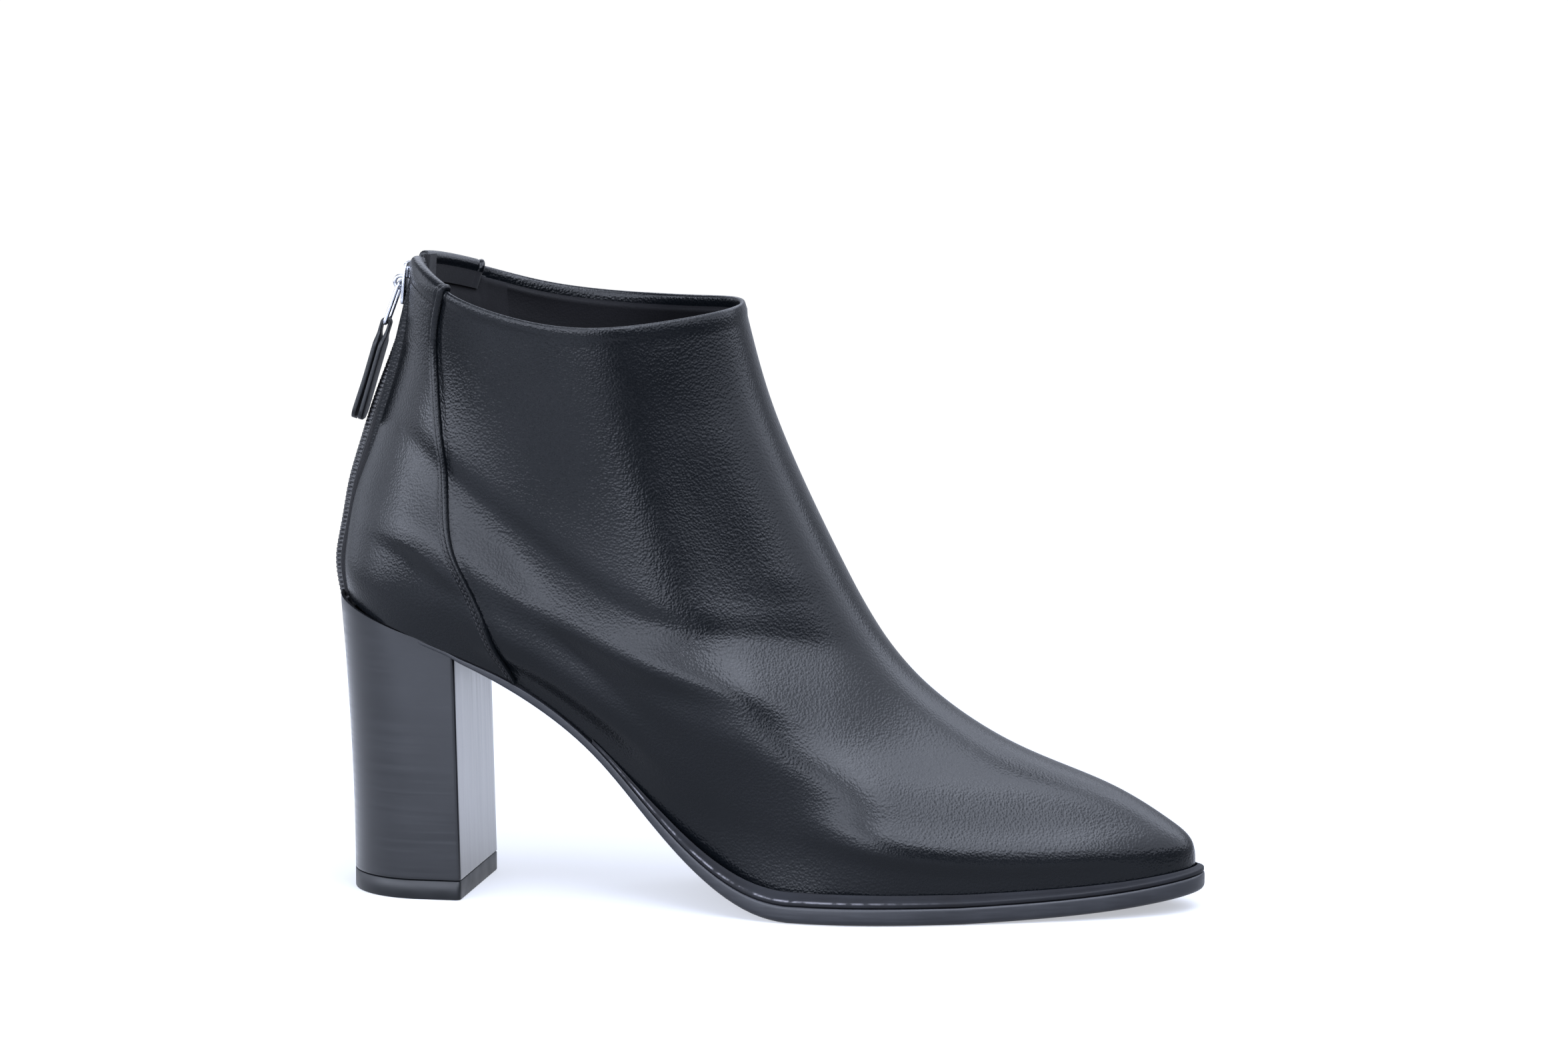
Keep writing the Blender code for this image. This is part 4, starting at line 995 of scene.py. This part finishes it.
def makeSlider():
    # two soft edged plates, a neck between them and an arched bridge, in axes along and across the zip
    size = sliderSize
    out = zipLine(np.array([zipSize["sliderRise"]]), 0.0)[1][0]
    inward = unit(-out * np.array([1, 0, 1]))
    axes = np.array([inward, [0, 1.0, 0], [-inward[2], 0, inward[0]]])
    face, behind, plate, tall = size["face"], size["behind"], size["plate"], size["tall"]
    # name, distance behind the hinge, height over it, sizes, softness and the solid it stands for
    blocks = [
        ("face", face + plate / 2, 0, (plate, 2 * size["half"], tall), "plateSoft", ["zip_slider"]),
        ("back", behind + plate / 2, 0, (plate, 2 * size["backHalf"], tall), "plateSoft", []),
        ("neck", (face + behind + plate) / 2, size["neckAt"] * tall,
         (behind - face, 2 * size["neck"], size["neckTall"] * tall), "neckSoft", []),
    ]
    for name, x, z, sizes, soft, stands in blocks:
        block = roundBlock(hinge + np.array([x, 0, z]) @ axes, sizes, axes, size[soft])
        solid("zip_slider_" + name, block, [zipSilver], stands, caps="fan", sharp=75)
    angle = np.linspace(-0.5 * math.pi, 0.5 * math.pi, size["bridgeSteps"])
    arch = size["bridge"] * np.stack([-np.cos(angle), 0 * angle, np.sin(angle)], -1)
    foot = face + size["bridgeFoot"]
    arch = hinge + np.vstack([[foot, 0, -size["bridge"]], arch, [foot, 0, size["bridge"]]]) @ axes
    wire = tube(arch, size["wire"], [0, 1.0, 0])
    solid("zip_slider_bridge", wire, [zipSilver], caps="fan")


pullSize = {
    "wire": 0.6, "wireSides": 14, "long": 12.4, "half": 2.7, "corner": 1.1, "cornerSteps": 9,
    "ringLean": 20.0, "tabLean": 16.6, "tabLong": 29.0, "tabHalf": 4.4, "neckHalf": 1.6, "layer": 1.45,
    "fold": 0.85, "foldRound": 1.12, "foldSteps": 15, "apart": 0.82, "end": 3.6,
    "endSteps": 12, "strapSteps": 26,
    # heights below the ring's bar: where the strap narrows, thins and bows out to the fold, and gapes
    "narrows": (-3.0, -6.2), "thins": (-6.5, -1.0), "bows": (-6.5, -1.2), "gapes": -14, "gape": 0.35,
    "shorter": 0.5, "leastEnd": 0.006, "sides": 28, "soft": 0.35,
}


def makeRing():
    # a wire along a rectangle with round corners, which hangs from the hinge at a lean
    size = pullSize
    lean = math.radians(size["ringLean"])
    corner = size["corner"]
    angle = np.arange(4)[:, None] * 0.5 * math.pi + np.linspace(0, 0.5 * math.pi, size["cornerSteps"])[None]
    y = np.array([1, -1, -1, 1])[:, None] * (size["half"] - corner) + corner * np.cos(angle)
    z = np.array([-corner, -corner, corner - size["long"], corner - size["long"]])[:, None]
    z = z + corner * np.sin(angle)
    path = np.stack([z.ravel() * math.sin(lean), y.ravel(), z.ravel() * math.cos(lean)], -1)
    wire = tube(hinge + path, size["wire"], [math.cos(lean), 0, -math.sin(lean)], size["wireSides"], True)
    solid("zip_ring", wire, [zipSilver], ["zip_pull_ring"], "pull", caps="ring")


def makeTab():
    # one strap folded over the ring's lower bar: a soft rectangular section follows a path up, round the
    # bar and down, and both ends are round
    size = pullSize
    lean, hang = math.radians(size["ringLean"]), math.radians(size["tabLean"])
    bar = hinge - size["long"] * np.array([math.sin(lean), 0, math.cos(lean)])
    axes = np.array([[math.cos(hang), 0, -math.sin(hang)], [0, 1.0, 0], [math.sin(hang), 0, math.cos(hang)]])
    tip, top = -size["tabLong"], size["bows"][1]
    up = np.concatenate([np.linspace(tip, tip + size["end"], size["endSteps"]),
                         np.linspace(tip + size["end"], top, size["strapSteps"])[1:]])
    bow = mixed(size["apart"], size["foldRound"], easy(*size["bows"], up))
    gape = size["gape"] * easy(size["gapes"], tip, up)
    over = np.linspace(math.pi, 0, size["foldSteps"])
    x = np.concatenate([-bow - gape, size["foldRound"] * np.cos(over), bow[::-1]])
    z = np.concatenate([up, size["foldRound"] * np.sin(over), up[::-1] + size["shorter"]])
    half = mixed(size["neckHalf"], size["tabHalf"], easy(*size["narrows"], z))
    half = half * rounded(z - tip, size["end"], size["leastEnd"])
    thick = mixed(size["layer"], size["fold"], easy(*size["thins"], z))
    path = np.stack([x, 0 * x, z], -1)
    ahead = unit(np.gradient(path, axis=0))
    flat = np.stack([-ahead[:, 2], 0 * x, ahead[:, 0]], -1)
    turn = circle(size["sides"])
    wide = half[:, None] * squared(np.cos(turn), size["soft"])
    deep = thick[:, None] / 2 * squared(np.sin(turn), size["soft"])
    section = path[:, None] + deep[..., None] * flat[:, None] + wide[..., None] * np.array([0, 1.0, 0])
    solid("zip_pull_leather", bar + section @ axes, [tabLeather], ["zip_pull_tab"], "pull",
          caps="fan", sharp=60)


makeSlider()
makeRing()
makeTab()
print("slider and pull made")


# Floor, light and camera

stageSize = {
    "floor": 0.6, "floorSides": 96, "middle": (-0.12, -0.2, 0),
    "lampColour": "#e3eafb", "bootMiddle": (0, 0, 0.07),
    # the surround's light grows over this span from front to back; the camera sees plain white
    "glowSpan": (-0.25, 0.45), "glow": (0.25, 0.8), "white": ("#ffffff", 1.05),
    # the camera's distance in metres, its angles, and the last's point that the photo shows at a pixel
    "distance": 3.2, "turn": 11.0, "lift": 9.3, "lens": 260.86, "sensor": 36.0, "clip": (0.1, 50),
    "aim": (125, 0, 85), "aimPixel": (1158, 899), "image": (2352, 1568),
}
# each lamp's place in metres, width and height, and brightness; all of them look at the boot's middle
lamps = {
    "right_soft": ((0.85, -0.1, 0.9), (2.5, 1.5), 5.0),
    "right_front": ((0.55, -0.85, 1.0), (0.65, 0.9), 11.0),
    "front_soft": ((0.05, -1.0, 0.85), (0.9, 0.6), 4.5),
    "top_soft": ((0.15, -0.35, 1.25), (1.6, 0.8), 9.5),
    "left_strip": ((-0.7, -1.05, 0.45), (3.1, 0.8), 8.5),
    "left_core": ((-0.75, -0.9, 0.4), (2.6, 0.2), 7.5),
    "left_soft": ((-1.2, 0.2, 0.35), (1.0, 0.7), 2.2),
    "back_soft": ((0.15, 0.95, 0.95), (2.0, 0.9), 2.8),
}
# a low lamp that looks straight down at the floor behind the heel and doesn't show in glossy faces
floorLamp = {"place": (-0.32, -0.46, 0.15), "aim": (-0.32, -0.461, 0), "size": (0.7, 0.3), "bright": 20.0}


def makeFloor():
    # a round floor under the boot
    size = stageSize
    angle = circle(size["floorSides"])
    rim = np.stack([np.cos(angle), np.sin(angle), 0 * angle], -1) * size["floor"] + size["middle"]
    mesh = bpy.data.meshes.new("floor")
    mesh.from_pydata(rim.tolist(), [], [list(range(len(rim)))])
    mesh.materials.append(finish("pale lit floor", litFloor, "#6e7074"))
    putInScene("floor", mesh)


def makeSurround():
    # white behind the boot, and for the light a cool glow that is stronger at the back
    size = stageSize
    white, bright = size["white"]
    world = bpy.data.worlds.new("studio")
    bpy.context.scene.world = world
    world.use_nodes = True
    tree = world.node_tree
    tree.nodes.clear()
    way = addNode(tree, "TexCoord", "Generated")
    ahead = addNode(tree, "SeparateXYZ", "Y", (way,))
    behind = addNode(tree, "MapRange", "Result", (ahead, *size["glowSpan"], *size["glow"]))
    seen = addNode(tree, "LightPath", "Is Camera Ray")
    strength = addNode(tree, "Mix", "Result", {"Factor": seen, "A": behind, "B": bright})
    tint = {"Factor": seen, "A": ink(size["lampColour"]), "B": ink(white)}
    tint = addNode(tree, "Mix", "Result", tint, data_type="RGBA")
    glow = addNode(tree, "Background", "Background", {"Color": tint, "Strength": strength})
    feed(tree, tree.nodes.new("ShaderNodeOutputWorld"), {"Surface": glow})


def makeLamp(name, spot, aim, spread, bright):
    # a soft rectangle that looks at its aim; its power is its brightness times its area
    wide, tall = spread
    data = bpy.data.lights.new(name, "AREA")
    data.shape = "RECTANGLE"
    data.size, data.size_y = spread
    data.energy = bright * math.pi * wide * tall
    data.color = ink(stageSize["lampColour"])[:3]
    lamp = putInScene(name, data)
    x, y, z = np.subtract(aim, spot)
    lamp.location = spot
    lamp.rotation_euler = (math.atan2(math.hypot(x, y), -z), 0, math.atan2(y, x) - math.pi / 2)
    lamp.visible_camera = False
    return lamp


def makeCamera():
    # stands back from its aim by the two angles; the shift puts the aim at its pixel of the photo
    size = stageSize
    turn, lift = math.radians(size["turn"]), math.radians(size["lift"])
    back = np.array([math.sin(turn) * math.cos(lift), -math.cos(turn) * math.cos(lift), math.sin(lift)])
    wide, tall = size["image"]
    right, down = size["aimPixel"]
    data = bpy.data.cameras.new("camera")
    data.lens, data.sensor_width = size["lens"], size["sensor"]
    data.shift_x, data.shift_y = (wide / 2 - right) / wide, (down - tall / 2) / wide
    data.clip_start, data.clip_end = size["clip"]
    camera = putInScene("camera", data)
    camera.location = np.array(size["aim"]) * mm + place + back * size["distance"]
    camera.rotation_euler = (math.pi / 2 - lift, 0, turn)
    bpy.context.scene.camera = camera


makeFloor()
makeSurround()
for name, (spot, spread, bright) in lamps.items():
    makeLamp(name, spot, stageSize["bootMiddle"], spread, bright)
lowLamp = makeLamp("floor_soft", floorLamp["place"], floorLamp["aim"], floorLamp["size"], floorLamp["bright"])
lowLamp.visible_glossy = False
makeCamera()
bpy.context.scene.view_settings.view_transform = "Standard"
